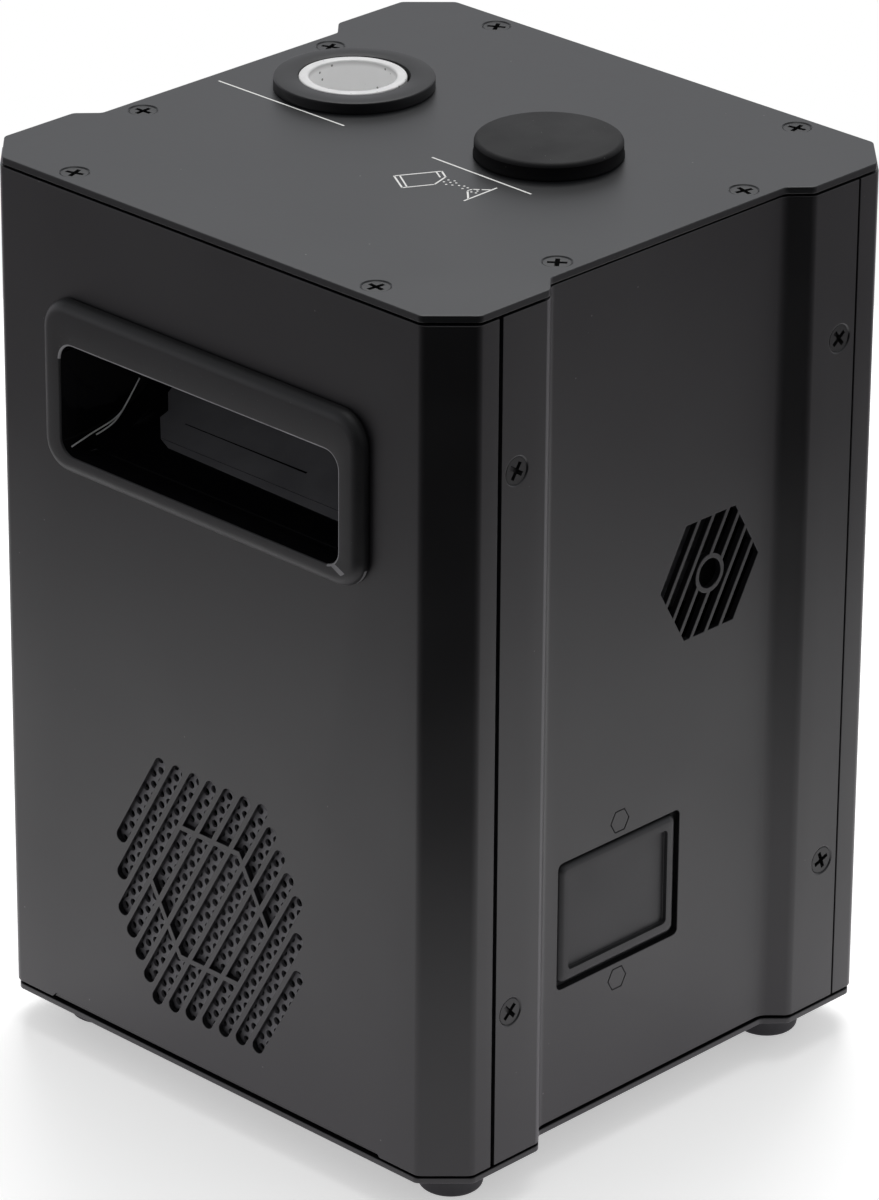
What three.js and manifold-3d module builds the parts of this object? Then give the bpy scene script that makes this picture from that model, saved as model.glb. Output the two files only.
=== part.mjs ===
// Cold spark machine: a small floor-standing stage effect. Metal powder falls from a hopper into a
// screw feeder, a heated chamber makes it glow, and a blower lifts it out of a ceramic nozzle.
// Millimetres, +Z up. The front, with the carrying handle, faces -Y, and the feet stand on z = 0.

import * as THREE from 'three';
import { mergeVertices } from 'three/addons/utils/BufferGeometryUtils.js';
import Module from 'manifold-3d';

const wasm = await Module();
wasm.setup();

// Fits shared by every piece
const seat = 0.3;            // air left between a piece and what carries it
const rest = 0.1;            // air under a flange that lies on the top plate
const overrun = 2;           // how far a cutter runs past the face it opens
const embed = 0.4;           // how deep a boss is rooted in the wall that carries it
const mergeReach = 0.0005;   // points closer than this are one point

// Casing: folded steel sheet between two flat plates
const casing = {
  width: 156,
  depth: 152,
  chamfer: 9.6,
  panelHeight: 215.4,
  sheet: 1.5,
  bendRadius: 0.6,
  overhang: 0.3,
  shadowGap: 0.5,
  recess: 4.7,
  cornerLength: 31.6,
  stepLength: 5,
  seamInset: 15.75,
  seamGap: 1.2,
  lapClearance: 3,
  flangeWidth: 11.5,
  sideFlangeWidth: 8.5,
};
const topPlate = { thickness: 2.5, cornerRadius: 2 };
const basePlate = { thickness: 2, cornerRadius: 2 };
const relief = { inset: 22.75, height: 1.3, ramp: 1.3 };
const foot = { height: 9.5, topRadius: 9.5, bottomRadius: 7.6, edge: 1.4, insetX: 17.5, insetY: 20 };
const footBore = { radius: 3.6, depth: 5.2 };

// Countersunk cross-head screws
const screw = {
  headRadius: 3.75,
  shankRadius: 1.9,
  headDepth: 1.85,
  length: 9,
  sink: 0.15,
};
const topScrews = { frontInsetX: 28.75, frontInset: 5.5, sideInset: 10.35, recessInset: 8.05 };
const sideScrews = { inset: 21.3, bottomInset: 40.2, topInset: 37.9 };

// Carrying handle let into the front
const handle = {
  width: 105.4,
  height: 43.6,
  drop: 50.4,
  proud: 4,
  cornerRadius: 8,
  edge: 3,
  openingWidth: 92,
  openingHeight: 28.2,
  openingDrop: 2.7,
  openingRadius: 4.2,
  lip: 1,
  spigotWall: 1.8,
};
const pocket = { wall: 2, depth: 36, scoopRadius: 46, roof: 12.6, rim: 6, backRadius: 5 };

// Front air intake: a hexagon of slanted slots
const vent = {
  centreX: -1,
  rise: 46.5,
  pitch: 5,
  slotWidth: 3.5,
  reach: 31.6,
  sideReach: 30,
  slots: 13,
  slant: Math.PI / 3,
  ringReach: 17.5,
};
const mesh = { width: 72, height: 74, thickness: 0.8 };
const fan = {
  size: 70,
  depth: 20,
  cornerRadius: 3.5,
  boreRadius: 33,
  holeSpacing: 61,
  holeRadius: 2,
  bladeRadius: 31.8,
  hubRadius: 14,
  blades: 7,
  bladeChord: 18,
  bladeThickness: 1.3,
  bladeCamber: 3,
  bladePitch: 0.72,
  pinRadius: 2.5,
  pinLength: 9,
  strutWidth: 3,
  strutDepth: 3,
  struts: 4,
  rotorGap: 1,
};

// Side air outlet: a smaller hexagon of slanted bars round a ring
const sideVent = {
  recessInset: 23.4,
  drop: 90.7,
  reach: 15,
  bars: 6,
  barWidth: 1.2,
  ringInner: 3.7,
  ringOuter: 4.95,
};

// Card reader in the right side
const reader = {
  recessInset: 26.6,
  rise: 52,
  openingWidth: 42.1,
  openingHeight: 33.5,
  openingRadius: 3,
  gap: 1.2,
  proud: 1.2,
  edge: 1.9,
  faceDepth: 6.5,
  padWidth: 33.5,
  padHeight: 24.5,
  padRadius: 1.5,
  padDepth: 1.1,
  flangeWidth: 46,
  flangeThickness: 1.6,
  studSpacing: 41.9,
  studMargin: 5,
  studRadius: 1.5,
  studLength: 3.5,
  boardWidth: 36,
  boardHeight: 28,
  chipSize: 8,
  chipHeight: 1.4,
};
const boardThickness = 1.6;

// Nozzle and heated chamber, on one upright axis
const feedLineY = 16;
const nozzle = {
  inset: 34,
  flangeRadius: 19.5,
  flangeHeight: 2.8,
  flangeEdge: 0.5,
  bore: 13.5,
  spigotRadius: 16,
  spigotDepth: 6,
  tubeOuter: 13.05,
  tubeInner: 10.55,
  tubeLength: 46,
  tubeEdge: 0.4,
};
const chamber = {
  outer: 15,
  inner: 10.55,
  socketWall: 1.6,
  socketDepth: 6,
  flangeRadius: 22,
  flangeHeight: 3,
  drop: 126.4,
  inletRadius: 6.3,
};
const heater = { outer: 18.5, length: 26, clampWidth: 9, clampReach: 3, clampThickness: 8, slit: 1.6 };
const shield = { outer: 23.4, wall: 0.8, above: 3 };

// Powder hopper and its cap
const hopperX = 20.3;
const hopper = {
  neckOuter: 15,
  neckInner: 13.5,
  flangeRadius: 24,
  flangeHeight: 2,
  shoulderDrop: 10,
  bodyRadius: 29,
  bodyHeight: 30,
  coneHeight: 27,
  throatOuter: 12,
  wall: 1.5,
};
const cap = {
  radius: 17.6,
  lipRadius: 18.4,
  lipHeight: 1.3,
  height: 4.4,
  edge: 1.1,
  plugRadius: 12.6,
  ribRadius: 13.2,
  ribHeight: 1,
  ribRise: 3,
  plugDepth: 8,
  hollowRadius: 10,
  hollowDepth: 6,
};

// Screw feeder
const feeder = {
  drop: 90.7,
  tubeOuter: 9.6,
  tubeInner: 6.3,
  saddleWidth: 28,
  saddleRise: 10,
  mouthRadius: 9,
  flangeRadius: 17,
  flangeThickness: 3,
  flangeReach: 15.7,
};
const auger = {
  radius: 5.8,
  shaftRadius: 1.9,
  pitch: 10,
  stepsPerTurn: 8,
  lead: 1.4,
  crestAngle: 0.35,
  footAngle: 0.56,
  shaftSides: 5,
  driveRadius: 2.9,
  driveLength: 6,
};
const gearmotor = {
  boxDepth: 20,
  boxWidth: 40,
  boxHeight: 32,
  boxRadius: 3,
  boxShift: 4,
  canRadius: 9.8,
  canLength: 31,
  canDrop: 3,
  capRadius: 5,
  capLength: 2.5,
  boreRadius: 3.3,
};

// Blower under the chamber
const blower = {
  depth: 28,
  wall: 1.5,
  tongueRadius: 24.5,
  endRadius: 31,
  outletWidth: 26,
  sweep: (280 * Math.PI) / 180,
  steps: 20,
  inletRadius: 15,
  bossRadius: 8,
  pinRadius: 3,
  pinLength: 10,
};
const impeller = {
  radius: 21.5,
  bladeInner: 16.5,
  height: 20,
  disc: 1.2,
  ringHeight: 1.2,
  hubRadius: 9,
  blades: 14,
  bladeThickness: 0.8,
  bladeLean: 0.12,
  hubHeight: 12,
};

// Rear controls and sockets
const display = { drop: 34.4, width: 46, height: 16, radius: 1.5, flange: 2, flangeThickness: 1.2 };
const keys = {
  drop: 56.4,
  spacing: 16,
  count: 4,
  radius: 4,
  proud: 1.5,
  collarRadius: 5,
  collarThickness: 1.2,
  stemRadius: 1.8,
  stemLength: 3.2,
  edge: 0.6,
};
const controlBoard = {
  width: 82,
  height: 50,
  drop: 46.4,
  setBack: 8.2,
  moduleWidth: 42,
  moduleHeight: 13,
  moduleDepth: 5.6,
  switchSize: 6,
  switchHeight: 2.4,
  postRadius: 2.5,
  postInset: 4,
};
const xlr = {
  spacing: 56,
  drop: 102.4,
  flangeWidth: 26,
  flangeHeight: 31,
  flangeRadius: 3,
  flangeThickness: 2.6,
  barrelRadius: 11.8,
  barrelDepth: 22,
  cavityRadius: 9.7,
  cavityDepth: 14,
  pinRadius: 1.2,
  pinCircle: 6.2,
  pinRecess: 2,
  insertRadius: 7.9,
  insertRecess: 1,
  contactRadius: 1.4,
  contactDepth: 8,
  latchWidth: 9,
  latchHeight: 5,
};
const inlet = {
  centreX: 26,
  rise: 38,
  flangeWidth: 31,
  flangeHeight: 40,
  flangeRadius: 3,
  flangeThickness: 2.5,
  bodyWidth: 27.2,
  bodyHeight: 36,
  bodyDepth: 24,
  cavityRise: 6.5,
  cavityWidth: 24.2,
  cavityHeight: 16.4,
  cavityDepth: 17,
  cavityCut: 3.5,
  bladeWidth: 2,
  bladeHeight: 4,
  bladeLength: 14,
  bladeSpacing: 14,
  bladeDrop: 2,
  earthRise: 4,
  tagLength: 7,
  tagWidth: 0.8,
};
const drawer = { drop: 12, width: 22.4, height: 6.4, depth: 20, wall: 1.2, lip: 1.2, lipHeight: 2 };
const rocker = {
  centreX: -26,
  rise: 38,
  flangeWidth: 15.6,
  flangeHeight: 22.6,
  flangeThickness: 1.6,
  flangeRadius: 1.5,
  bodyWidth: 13.4,
  bodyHeight: 20.4,
  bodyDepth: 15,
  cavityWidth: 11.6,
  cavityHeight: 18.4,
  cavityDepth: 8,
  width: 11,
  halfLength: 8.2,
  tipReach: 4.6,
  dipReach: 3,
  skirt: 1.5,
  tagWidth: 4.8,
  tagThickness: 0.8,
  tagLength: 7,
  heelReach: 2.5,
  heelHalf: 3,
  pivotDepth: 2.2,
  tilt: (10 * Math.PI) / 180,
};

// Boards inside
const mainBoard = {
  margin: 2,
  height: 68,
  rise: 45,
  post: 5.2,
  postRadius: 3,
  postInset: 5,
  partHeight: 6,
};
const supply = {
  width: 41,
  length: 70,
  sideGap: 2.5,
  fanGap: 3,
  post: 6,
  postRadius: 3,
  postInset: 5,
  partHeight: 27,
};

// Facets
const round = 20;
const smallRound = 12;
const boltRound = 8;
const arcSteps = 3;
const bendSteps = 2;
const softEdge = 1;

// Heights and faces worked out from the sizes above
const halfWidth = casing.width / 2;
const halfDepth = casing.depth / 2;
const baseTop = foot.height + basePlate.thickness;
const panelBottom = baseTop + casing.shadowGap;
const panelTop = panelBottom + casing.panelHeight;
const plateBottom = panelTop + casing.shadowGap;
const plateTop = plateBottom + topPlate.thickness;
const stripX = halfWidth - casing.overhang;
const recessX = stripX - casing.recess;
const faceY = halfDepth - casing.overhang;
const innerRecessX = recessX - casing.sheet;
const innerFaceY = faceY - casing.sheet;
const strip = halfDepth - casing.cornerLength;
const recessHalf = strip - casing.stepLength;
const seamY = halfDepth - casing.seamInset;
const joggle = casing.sheet + seat;
const handleZ = plateTop - handle.drop;
const ventZ = panelBottom + vent.rise;
const sideVentY = recessHalf - sideVent.recessInset;
const sideVentZ = plateTop - sideVent.drop;
const readerY = -recessHalf + reader.recessInset;
const readerZ = panelBottom + reader.rise;
const nozzleX = -halfWidth + nozzle.inset;
const chamberZ = plateTop - chamber.drop;
const feederZ = plateTop - feeder.drop;
const feedEnd = hopperX + feeder.flangeReach;
const displayZ = plateTop - display.drop;
const keysZ = plateTop - keys.drop;
const controlZ = plateTop - controlBoard.drop;
const signalZ = plateTop - xlr.drop;
const inletZ = panelBottom + inlet.rise;
const rockerZ = panelBottom + rocker.rise;
const readerHeight = reader.studSpacing + 2 * reader.studMargin;

// Building blocks

function pointsShape(points) {
  return new THREE.Shape(points.map(([x, y]) => new THREE.Vector2(x, y)));
}

function roundedRect(width, height, radius, x = 0, y = 0) {
  const shape = new THREE.Shape();
  const [w, h] = [width / 2 - radius, height / 2 - radius];
  shape.absarc(x + w, y - h, radius, -Math.PI / 2, 0);
  shape.absarc(x + w, y + h, radius, 0, Math.PI / 2);
  shape.absarc(x - w, y + h, radius, Math.PI / 2, Math.PI);
  shape.absarc(x - w, y - h, radius, Math.PI, Math.PI * 1.5);
  return shape;
}

function rect(width, height, x = 0, y = 0) {
  const [w, h] = [width / 2, height / 2];
  return pointsShape([[x - w, y - h], [x + w, y - h], [x + w, y + h], [x - w, y + h]]);
}

function polygon(sides, reach, x = 0, y = 0) {
  const corner = reach / Math.cos(Math.PI / sides);
  const points = [];
  for (let i = 0; i < sides; i += 1) {
    const angle = (2 * Math.PI * i) / sides;
    points.push([x + corner * Math.cos(angle), y + corner * Math.sin(angle)]);
  }
  return pointsShape(points);
}

// An outline with each corner rounded to the same radius
function softPolygon(points, radius) {
  const shape = new THREE.Shape();
  points.forEach((point, i) => {
    const here = new THREE.Vector2(...point);
    const before = new THREE.Vector2(...points.at(i - 1)).sub(here).setLength(radius).add(here);
    const after = new THREE.Vector2(...points[(i + 1) % points.length]).sub(here);
    after.setLength(radius).add(here);
    if (i === 0) {
      shape.moveTo(before.x, before.y);
    } else {
      shape.lineTo(before.x, before.y);
    }
    shape.quadraticCurveTo(here.x, here.y, after.x, after.y);
  });
  shape.closePath();
  return shape;
}

// A folded sheet seen end on. The points follow its outer face with the sheet on their left.
function foldedSheet(points, thickness, insideRadius) {
  const path = points.map(([x, y]) => new THREE.Vector2(x, y));
  const outer = [];
  const inner = [];
  path.forEach((here, i) => {
    const into = i > 0 ? here.clone().sub(path[i - 1]).normalize() : null;
    const out = i < path.length - 1 ? path[i + 1].clone().sub(here).normalize() : null;
    const along = into ?? out;
    const left = new THREE.Vector2(-along.y, along.x);
    if (!into || !out) {
      outer.push(here);
      inner.push(here.clone().addScaledVector(left, thickness));
      return;
    }
    const turn = Math.atan2(into.cross(out), into.dot(out));
    const side = Math.sign(turn);
    const outerRadius = side > 0 ? insideRadius + thickness : insideRadius;
    const innerRadius = side > 0 ? insideRadius : insideRadius + thickness;
    const back = outerRadius * Math.tan(Math.abs(turn) / 2);
    const centre = here.clone().addScaledVector(into, -back).addScaledVector(left, side * outerRadius);
    for (let k = 0; k <= bendSteps; k += 1) {
      const spoke = left.clone().multiplyScalar(-side);
      spoke.rotateAround(new THREE.Vector2(), (turn * k) / bendSteps);
      outer.push(centre.clone().addScaledVector(spoke, outerRadius));
      inner.push(centre.clone().addScaledVector(spoke, innerRadius));
    }
  });
  return new THREE.Shape([...outer, ...inner.reverse()]);
}

const axisBasis = {
  x: [[0, 1, 0], [0, 0, 1], [1, 0, 0]],
  y: [[1, 0, 0], [0, 0, 1], [0, -1, 0]],
  z: [[1, 0, 0], [0, 1, 0], [0, 0, 1]],
};

// A prism along x, y or z. Its outline is drawn in (y, z), (x, z) or (x, y).
function prism(outline, axis, low, high, edge = 0, steps = arcSteps) {
  const geometry = new THREE.ExtrudeGeometry(outline, {
    depth: high - low - 2 * edge,
    curveSegments: steps,
    bevelEnabled: edge > 0,
    bevelThickness: edge,
    bevelSize: edge,
    bevelOffset: -edge,
    bevelSegments: edge > softEdge ? 2 : 1,
  });
  geometry.translate(0, 0, edge);
  const columns = axisBasis[axis].map((column) => new THREE.Vector3(...column));
  geometry.applyMatrix4(new THREE.Matrix4().makeBasis(...columns));
  const start = { x: [low, 0, 0], y: [0, high, 0], z: [0, 0, low] };
  return geometry.translate(...start[axis]);
}

// A round bar along x, y or z through a point, which may taper
function rod(axis, radius, low, high, at = [0, 0, 0], sides = smallRound, endRadius = radius) {
  const geometry = new THREE.CylinderGeometry(endRadius, radius, high - low, sides);
  geometry.translate(0, (low + high) / 2, 0);
  if (axis === 'x') {
    geometry.rotateZ(-Math.PI / 2);
  }
  if (axis === 'z') {
    geometry.rotateX(Math.PI / 2);
  }
  return geometry.translate(...at);
}

function block(x0, x1, y0, y1, z0, z1) {
  const geometry = new THREE.BoxGeometry(x1 - x0, y1 - y0, z1 - z0);
  return geometry.translate((x0 + x1) / 2, (y0 + y1) / 2, (z0 + z1) / 2);
}

// A turned form about z from [radius, height] points
function turned(points, sides = round) {
  const profile = points.map(([r, z]) => new THREE.Vector2(r, z));
  return new THREE.LatheGeometry(profile, sides).rotateX(Math.PI / 2);
}

// A turned form whose profile closes on itself, away from the axis
function turnedRing(points, sides = round) {
  return turned([...points, points[0]], sides);
}

function solid(form) {
  if (!form.isBufferGeometry) {
    return form;
  }
  const bare = form.index ? form.toNonIndexed() : form.clone();
  bare.deleteAttribute('normal');
  bare.deleteAttribute('uv');
  const merged = mergeVertices(bare, mergeReach);
  const corners = merged.index.array;
  const kept = [];
  for (let i = 0; i < corners.length; i += 3) {
    const [a, b, c] = corners.slice(i, i + 3);
    if (a !== b && b !== c && c !== a) {
      kept.push(a, b, c);
    }
  }
  const made = new wasm.Manifold(new wasm.Mesh({
    numProp: 3,
    vertProperties: merged.attributes.position.array,
    triVerts: Uint32Array.from(kept),
  }));
  return made;
}

function join(...forms) {
  return forms.map(solid).reduce((whole, next) => whole.add(next));
}

function cut(form, ...cutters) {
  return cutters.map(solid).reduce((whole, next) => whole.subtract(next), solid(form));
}

function overlap(form, other) {
  return solid(form).intersect(solid(other));
}

function geometryOf(form) {
  const made = solid(form).getMesh();
  const geometry = new THREE.BufferGeometry();
  geometry.setAttribute('position', new THREE.BufferAttribute(made.vertProperties, made.numProp));
  geometry.setIndex(new THREE.BufferAttribute(made.triVerts, 1));
  geometry.computeVertexNormals();
  return geometry;
}

// Finishes
const paint = (color, roughness, metalness) => ({ color, roughness, metalness });
const finishes = {
  topCoat: paint('#55575a', 0.55, 0.15),
  sideCoat: paint('#3a393c', 0.5, 0.15),
  softRubber: paint('#2b2b2c', 0.85, 0),
  glossBlack: paint('#0c0c0d', 0.15, 0),
  mouldedBlack: paint('#1c1c1e', 0.5, 0),
  ceramic: paint('#e9e9e6', 0.4, 0),
  steel: paint('#b9bbbd', 0.35, 0.9),
  screwBlack: paint('#141415', 0.4, 0.5),
  aluminium: paint('#a6a8aa', 0.4, 0.85),
  board: paint('#1f5a34', 0.6, 0),
  amber: paint('#16181a', 0.12, 0),
  key: paint('#8b8d90', 0.6, 0),
  brass: paint('#b3a36a', 0.4, 0.8),
};

const machine = new THREE.Group();

function piece(name, form, finish, position = [0, 0, 0], rotation = [0, 0, 0], parent = machine) {
  const part = new THREE.Mesh(geometryOf(form), new THREE.MeshStandardMaterial(finishes[finish]));
  part.name = name;
  part.position.set(...position);
  part.rotation.set(...rotation);
  parent.add(part);
  return part;
}

// Both plates share the casing's plan: four clipped corners and a shallow recess down each side
function casingPlan(radius) {
  const recessed = halfWidth - casing.recess;
  const right = [
    [halfWidth - casing.chamfer, -halfDepth],
    [halfWidth, -halfDepth + casing.chamfer],
    [halfWidth, -strip],
    [recessed, -recessHalf],
    [recessed, recessHalf],
    [halfWidth, strip],
    [halfWidth, halfDepth - casing.chamfer],
    [halfWidth - casing.chamfer, halfDepth],
  ];
  const left = right.map(([x, y]) => [-x, y]).reverse();
  return softPolygon([...right, ...left], radius);
}

const corners = [[-1, -1], [1, -1], [1, 1], [-1, 1]];
const frontScrewX = halfWidth - topScrews.frontInsetX;
const sideScrewY = recessHalf - topScrews.recessInset;
const topScrewPlaces = [
  ...corners.map(([x, y]) => [x * frontScrewX, y * (halfDepth - topScrews.frontInset)]),
  ...corners.map(([x, y]) => [x * (halfWidth - topScrews.sideInset), y * sideScrewY]),
];
const sideScrewPlaces = corners.map(([y, z]) => [
  y * (halfDepth - sideScrews.inset),
  z > 0 ? panelTop - sideScrews.topInset : panelBottom + sideScrews.bottomInset,
]);

// The cone and hole that a countersunk screw needs, pointing down from z = 0
function screwHole(depth) {
  const cone = rod('z', screw.shankRadius + seat, -screw.headDepth - seat, seat, [0, 0, 0], smallRound,
    screw.headRadius + seat * 2);
  return join(cone, rod('z', screw.shankRadius + seat, -depth, -screw.headDepth, [0, 0, 0], boltRound));
}

function screwForm() {
  const headBottom = -screw.headDepth;
  const head = rod('z', screw.shankRadius, headBottom, 0, [0, 0, 0], smallRound, screw.headRadius);
  const shank = rod('z', screw.shankRadius, -screw.length, headBottom + embed, [0, 0, 0], boltRound);
  return join(head, shank);
}

function turnedForm(form, matrix) {
  return geometryOf(form).applyMatrix4(matrix);
}

function makeTopPlate() {
  const outline = casingPlan(topPlate.cornerRadius);
  const plate = prism(outline, 'z', plateBottom, plateTop, 0, 2);
  const holes = topScrewPlaces.map(([x, y]) => turnedForm(
    screwHole(topPlate.thickness + overrun),
    new THREE.Matrix4().makeTranslation(x, y, plateTop - screw.sink),
  ));
  const [low, high] = [plateBottom - overrun, plateTop + overrun];
  return cut(
    plate,
    rod('z', nozzle.spigotRadius + seat, low, high, [nozzleX, feedLineY, 0], round),
    rod('z', hopper.neckOuter + seat, low, high, [hopperX, feedLineY, 0], round),
    ...holes,
  );
}

function makeBasePlate() {
  const outline = casingPlan(basePlate.cornerRadius);
  const plate = prism(outline, 'z', foot.height, baseTop, 0, 2);
  const bolts = corners.map(([x, y]) => rod(
    'z', screw.shankRadius + seat, foot.height - overrun, baseTop + overrun,
    [x * (halfWidth - foot.insetX), y * (halfDepth - foot.insetY), 0], boltRound,
  ));
  return cut(plate, ...bolts);
}

function makeFoot() {
  const top = foot.height - seat;
  return turned([
    [0, footBore.depth],
    [footBore.radius, footBore.depth],
    [footBore.radius, 0],
    [foot.bottomRadius - foot.edge, 0],
    [foot.bottomRadius, foot.edge],
    [foot.topRadius, top],
    [screw.shankRadius, top],
    [screw.shankRadius, baseTop],
    [0, baseTop],
  ], smallRound);
}

// The front and rear sheets wrap both corners and step in under the side sheets
function channelSheet() {
  const seam = seamY + casing.seamGap / 2;
  const lapX = stripX - joggle;
  const half = [
    [stripX - casing.chamfer, -faceY],
    [stripX, -faceY + casing.chamfer],
    [stripX, -seam - joggle],
    [lapX, -seam],
    [lapX, -strip - casing.lapClearance],
  ];
  const mirrored = half.map(([x, y]) => [-x, y]).reverse();
  const outline = foldedSheet([...mirrored, ...half], casing.sheet, casing.bendRadius);
  return prism(outline, 'z', panelBottom, panelTop);
}

// Flanges that the plates rest on, along the front or rear sheet, with their screw holes
function frontFlanges() {
  const length = casing.width - 4 * casing.chamfer;
  const [y0, y1] = [-faceY + casing.sheet / 2, -faceY + casing.sheet + casing.flangeWidth];
  const tops = block(-length / 2, length / 2, y0, y1, panelTop - casing.sheet, panelTop);
  const lows = block(-length / 2, length / 2, y0, y1, panelBottom, panelBottom + casing.sheet);
  const holes = [-1, 1].map((side) => rod(
    'z', screw.shankRadius + seat, panelTop - casing.sheet - overrun, panelTop + overrun,
    [side * frontScrewX, -halfDepth + topScrews.frontInset, 0], boltRound,
  ));
  return [join(tops, lows), holes];
}

function lapHoles() {
  const x1 = stripX + overrun;
  return [-1, 1].flatMap((side) => sideScrewPlaces.filter(([y]) => y < 0).map(([y, z]) => rod(
    'x', screw.shankRadius + seat, side > 0 ? stripX / 2 : -x1, side > 0 ? x1 : -stripX / 2, [0, y, z],
    boltRound,
  )));
}

// One slanted slot of the intake, as long as the clipped hexagon lets it be
function ventSlot(offset) {
  const [c, s] = [Math.cos(vent.slant), Math.sin(vent.slant)];
  const end = (d) => Math.min(
    (vent.reach - d * c) / s,
    (vent.reach + d * c) / s,
    (vent.sideReach + d * s) / c,
  );
  const [low, high] = [-end(-offset), end(offset)];
  const radius = vent.slotWidth / 2;
  const slot = new THREE.Shape();
  slot.absarc(high, 0, radius, -Math.PI / 2, Math.PI / 2);
  slot.absarc(low, 0, radius, Math.PI / 2, Math.PI * 1.5);
  const turn = new THREE.Matrix4().makeRotationY(-vent.slant);
  const shift = new THREE.Matrix4().makeTranslation(
    vent.centreX - offset * s, 0, ventZ + offset * c,
  );
  const deep = casing.sheet + overrun;
  return prism(slot, 'y', -faceY - overrun, -faceY + deep).applyMatrix4(turn).applyMatrix4(shift);
}

function ventCutter() {
  const slots = [];
  for (let i = 0; i < vent.slots; i += 1) {
    slots.push(ventSlot((i - (vent.slots - 1) / 2) * vent.pitch));
  }
  const web = (vent.pitch - vent.slotWidth) / 2;
  const [low, high] = [-faceY - 2 * overrun, -faceY + 2 * overrun + casing.sheet];
  const ring = cut(
    prism(polygon(6, vent.ringReach + web, vent.centreX, ventZ), 'y', low, high),
    prism(polygon(6, vent.ringReach - web, vent.centreX, ventZ), 'y', low - overrun, high + overrun),
  );
  return cut(join(...slots), ring);
}

const openingZ = handleZ - handle.openingDrop;

function makeFrontPanel() {
  const [flanges, holes] = frontFlanges();
  const room = 2 * (handle.spigotWall + seat);
  const opening = roundedRect(
    handle.openingWidth + room, handle.openingHeight + room, handle.openingRadius + room / 2, 0, openingZ,
  );
  const reliefHalf = halfWidth - relief.inset;
  const reliefZ = panelBottom + relief.height;
  const reliefShape = pointsShape([
    [-reliefHalf - relief.ramp, panelBottom - overrun],
    [reliefHalf + relief.ramp, panelBottom - overrun],
    [reliefHalf + relief.ramp, panelBottom],
    [reliefHalf, reliefZ],
    [-reliefHalf, reliefZ],
    [-reliefHalf - relief.ramp, panelBottom],
  ]);
  const front = -faceY - overrun;
  return cut(
    join(channelSheet(), flanges),
    prism(opening, 'y', front, -innerFaceY + overrun),
    prism(reliefShape, 'y', front, -faceY + casing.sheet / 2),
    ventCutter(),
    ...holes,
    ...lapHoles(),
  );
}

// Sockets and controls in the rear sheet, which is the front sheet turned half round
function makeRearPanel() {
  const [flanges, holes] = frontFlanges();
  const half = new THREE.Matrix4().makeRotationZ(Math.PI);
  const bare = turnedForm(cut(join(channelSheet(), flanges), ...holes, ...lapHoles()), half);
  const [low, high] = [innerFaceY - overrun, faceY + overrun];
  const cutters = [
    prism(rect(display.width + 2 * seat, display.height + 2 * seat, 0, displayZ), 'y', low, high),
    prism(rect(inlet.bodyWidth + 2 * seat, inlet.bodyHeight + 2 * seat, inlet.centreX, inletZ),
      'y', low, high),
    prism(rect(rocker.bodyWidth + 2 * seat, rocker.bodyHeight + 2 * seat, rocker.centreX, rockerZ),
      'y', low, high),
  ];
  for (const side of [-1, 1]) {
    const at = [(side * xlr.spacing) / 2, 0, signalZ];
    cutters.push(rod('y', xlr.barrelRadius + seat, low, high, at, round));
  }
  for (let i = 0; i < keys.count; i += 1) {
    cutters.push(rod('y', keys.radius + seat, low, high, [keyX(i), 0, keysZ]));
  }
  return cut(bare, ...cutters);
}

function keyX(i) {
  return (i - (keys.count - 1) / 2) * keys.spacing;
}

// The right side sheet, before its openings
function sideSheet() {
  const seam = seamY - casing.seamGap / 2;
  const outline = foldedSheet([
    [stripX, -seam],
    [stripX, -strip],
    [recessX, -recessHalf],
    [recessX, recessHalf],
    [stripX, strip],
    [stripX, seam],
  ], casing.sheet, casing.bendRadius);
  const [x0, x1] = [innerRecessX - casing.sideFlangeWidth, innerRecessX + casing.sheet / 2];
  const half = recessHalf - casing.stepLength;
  const flange = block(x0, x1, -half, half, panelTop - casing.sheet, panelTop);
  const holes = [-1, 1].map((side) => rod(
    'z', screw.shankRadius + seat, panelTop - casing.sheet - overrun, panelTop + overrun,
    [halfWidth - topScrews.sideInset, side * sideScrewY, 0], boltRound,
  ));
  const outward = new THREE.Matrix4().makeRotationY(Math.PI / 2);
  const countersinks = sideScrewPlaces.map(([y, z]) => {
    const place = new THREE.Matrix4().makeTranslation(stripX - screw.sink, y, z);
    return turnedForm(screwHole(joggle + overrun), place.multiply(outward));
  });
  return cut(join(prism(outline, 'z', panelBottom, panelTop), flange), ...holes, ...countersinks);
}

// Slanted bars across a hexagon, joined by a ring in the middle
function sideVentCutter() {
  const [low, high] = [innerRecessX - overrun, recessX + overrun];
  const [y, z, reach] = [sideVentY, sideVentZ, sideVent.reach];
  const hexagon = prism(polygon(6, reach, y, z), 'x', low, high);
  const opening = (2 * reach - sideVent.bars * sideVent.barWidth) / (sideVent.bars + 1);
  const pitch = opening + sideVent.barWidth;
  const bars = [];
  for (let i = 0; i < sideVent.bars; i += 1) {
    const offset = (i - (sideVent.bars - 1) / 2) * pitch;
    const bar = prism(rect(4 * reach, sideVent.barWidth), 'x', low - overrun, high + overrun);
    bar.translate(0, 0, offset).rotateX(vent.slant).translate(0, y, z);
    bars.push(bar);
  }
  const ring = rod('x', sideVent.ringOuter, low - overrun, high + overrun, [0, y, z], round);
  const eye = rod('x', sideVent.ringInner, low, high, [0, y, z], round);
  return join(cut(hexagon, ...bars, ring), eye);
}

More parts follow.
